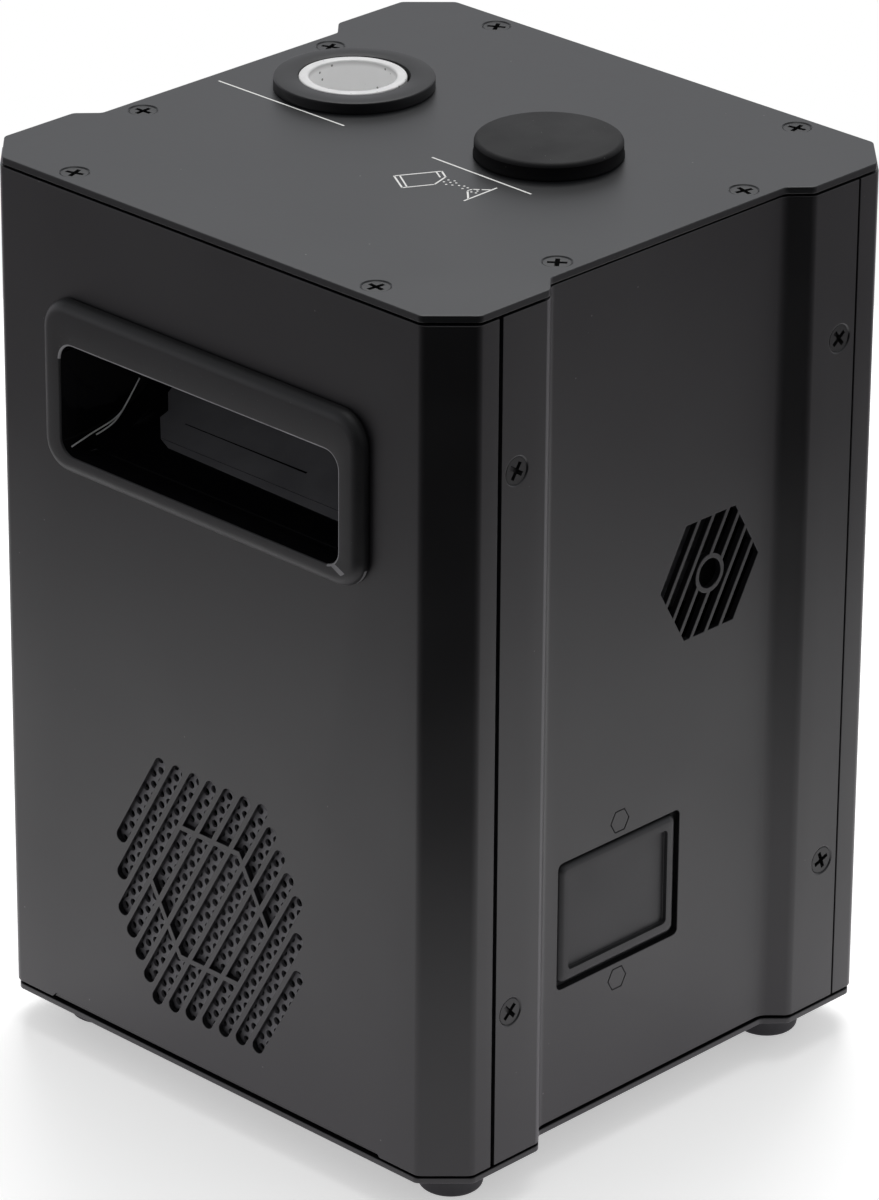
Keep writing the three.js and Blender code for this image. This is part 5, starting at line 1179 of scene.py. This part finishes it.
# Neutral to the camera, and a touch violet in reflections
cast = add(tree, "ShaderNodeMix", {"data_type": "RGBA"}, {
    0: ray.outputs["Is Camera Ray"], 6: (1.0, 0.94, 1.02, 1), 7: (1, 1, 1, 1),
})
lift = add(tree, "ShaderNodeEmission", {}, {"Color": cast.outputs[2], "Strength": strength.outputs[0]})
fibre = add(tree, "ShaderNodeTexNoise", {}, {"Vector": coords, "Scale": per_mm(2), "Detail": 3.0})
sheet_white = add(tree, "ShaderNodeMix", {"data_type": "RGBA"}, {
    0: fibre.outputs["Fac"], 6: linear("#f4f4f4"), 7: linear("#f8f8f8"),
})
matt = add(tree, "ShaderNodeBsdfDiffuse", {}, {"Color": sheet_white.outputs[2]})
both = add(tree, "ShaderNodeAddShader", {}, {0: lift.outputs[0], 1: matt.outputs[0]})
add(tree, "ShaderNodeOutputMaterial", {}, {"Surface": both.outputs[0]})
table.materials.append(paper)

world = bpy.data.worlds.new("studio")
world.use_nodes = True
bpy.context.scene.world = world
tree = world.node_tree
tree.nodes.clear()
# In reflections: white walls all round, a darker ceiling and floor, and a dark room in front
way = add(tree, "ShaderNodeTexCoord").outputs["Generated"]
up = add(tree, "ShaderNodeSeparateXYZ", {}, {0: way}).outputs["Z"]
toward = add(tree, "ShaderNodeVectorMath", {"operation": "DOT_PRODUCT"}, {
    0: way, 1: (0.66, -0.68, -0.32),
}).outputs["Value"]
behind = add(tree, "ShaderNodeMapRange", {}, {0: toward, 1: -0.3, 2: -0.65, 3: 0.28, 4: 1.0})
below = add(tree, "ShaderNodeMapRange", {}, {0: up, 1: -0.16, 2: 0.02, 3: behind.outputs[0], 4: 1.0})
above = add(tree, "ShaderNodeMapRange", {}, {0: up, 1: 0.08, 2: 0.66, 3: 1.0, 4: 0.3})
walls = add(tree, "ShaderNodeMath", {"operation": "MULTIPLY"}, {0: below.outputs[0], 1: above.outputs[0]})
front_room = add(tree, "ShaderNodeMapRange", {}, {0: toward, 1: 0.25, 2: 0.85, 3: 1.0, 4: 0.0})
room = add(tree, "ShaderNodeMath", {"operation": "MULTIPLY"}, {
    0: walls.outputs[0], 1: front_room.outputs[0],
})
path = add(tree, "ShaderNodeLightPath")
plain = add(tree, "ShaderNodeMapRange", {}, {0: seen(tree), 3: 0.45, 4: 1.0})
level = add(tree, "ShaderNodeMix", {"data_type": "FLOAT"}, {
    0: path.outputs["Is Glossy Ray"], 2: plain.outputs[0], 3: room.outputs[0],
})
height = add(tree, "ShaderNodeMapRange", {}, {0: up, 1: -0.2, 2: 0.2})
tint = add(tree, "ShaderNodeMix", {"data_type": "RGBA"}, {
    0: height.outputs[0], 6: (1.0, 0.95, 1.0, 1), 7: (0.94, 0.955, 1.0, 1),
})
air = add(tree, "ShaderNodeMix", {"data_type": "RGBA"}, {
    0: path.outputs["Is Glossy Ray"], 6: (1, 1, 1, 1), 7: tint.outputs[2],
})
back = add(tree, "ShaderNodeBackground", {}, {"Color": air.outputs[2], "Strength": level.outputs[0]})
add(tree, "ShaderNodeOutputWorld", {}, {"Surface": back.outputs[0]})


def lamp(name, place, size, power):
    """A square softbox aimed at the middle of the machine."""
    data = bpy.data.lights.new(name, "AREA")
    data.shape = "SQUARE"
    data.size = size
    data.energy = power
    made = bpy.data.objects.new(name, data)
    made.location = place
    aim = Vector((0, 0, 0.12)) - Vector(place)
    made.rotation_mode = "QUATERNION"
    made.rotation_quaternion = aim.to_track_quat("-Z", "Y")
    bpy.context.scene.collection.objects.link(made)


lamp("key softbox", (-0.5, 0.6, 1.5), 0.8, 12)
lamp("top softbox", (0.0, 0.1, 1.7), 1.1, 6)
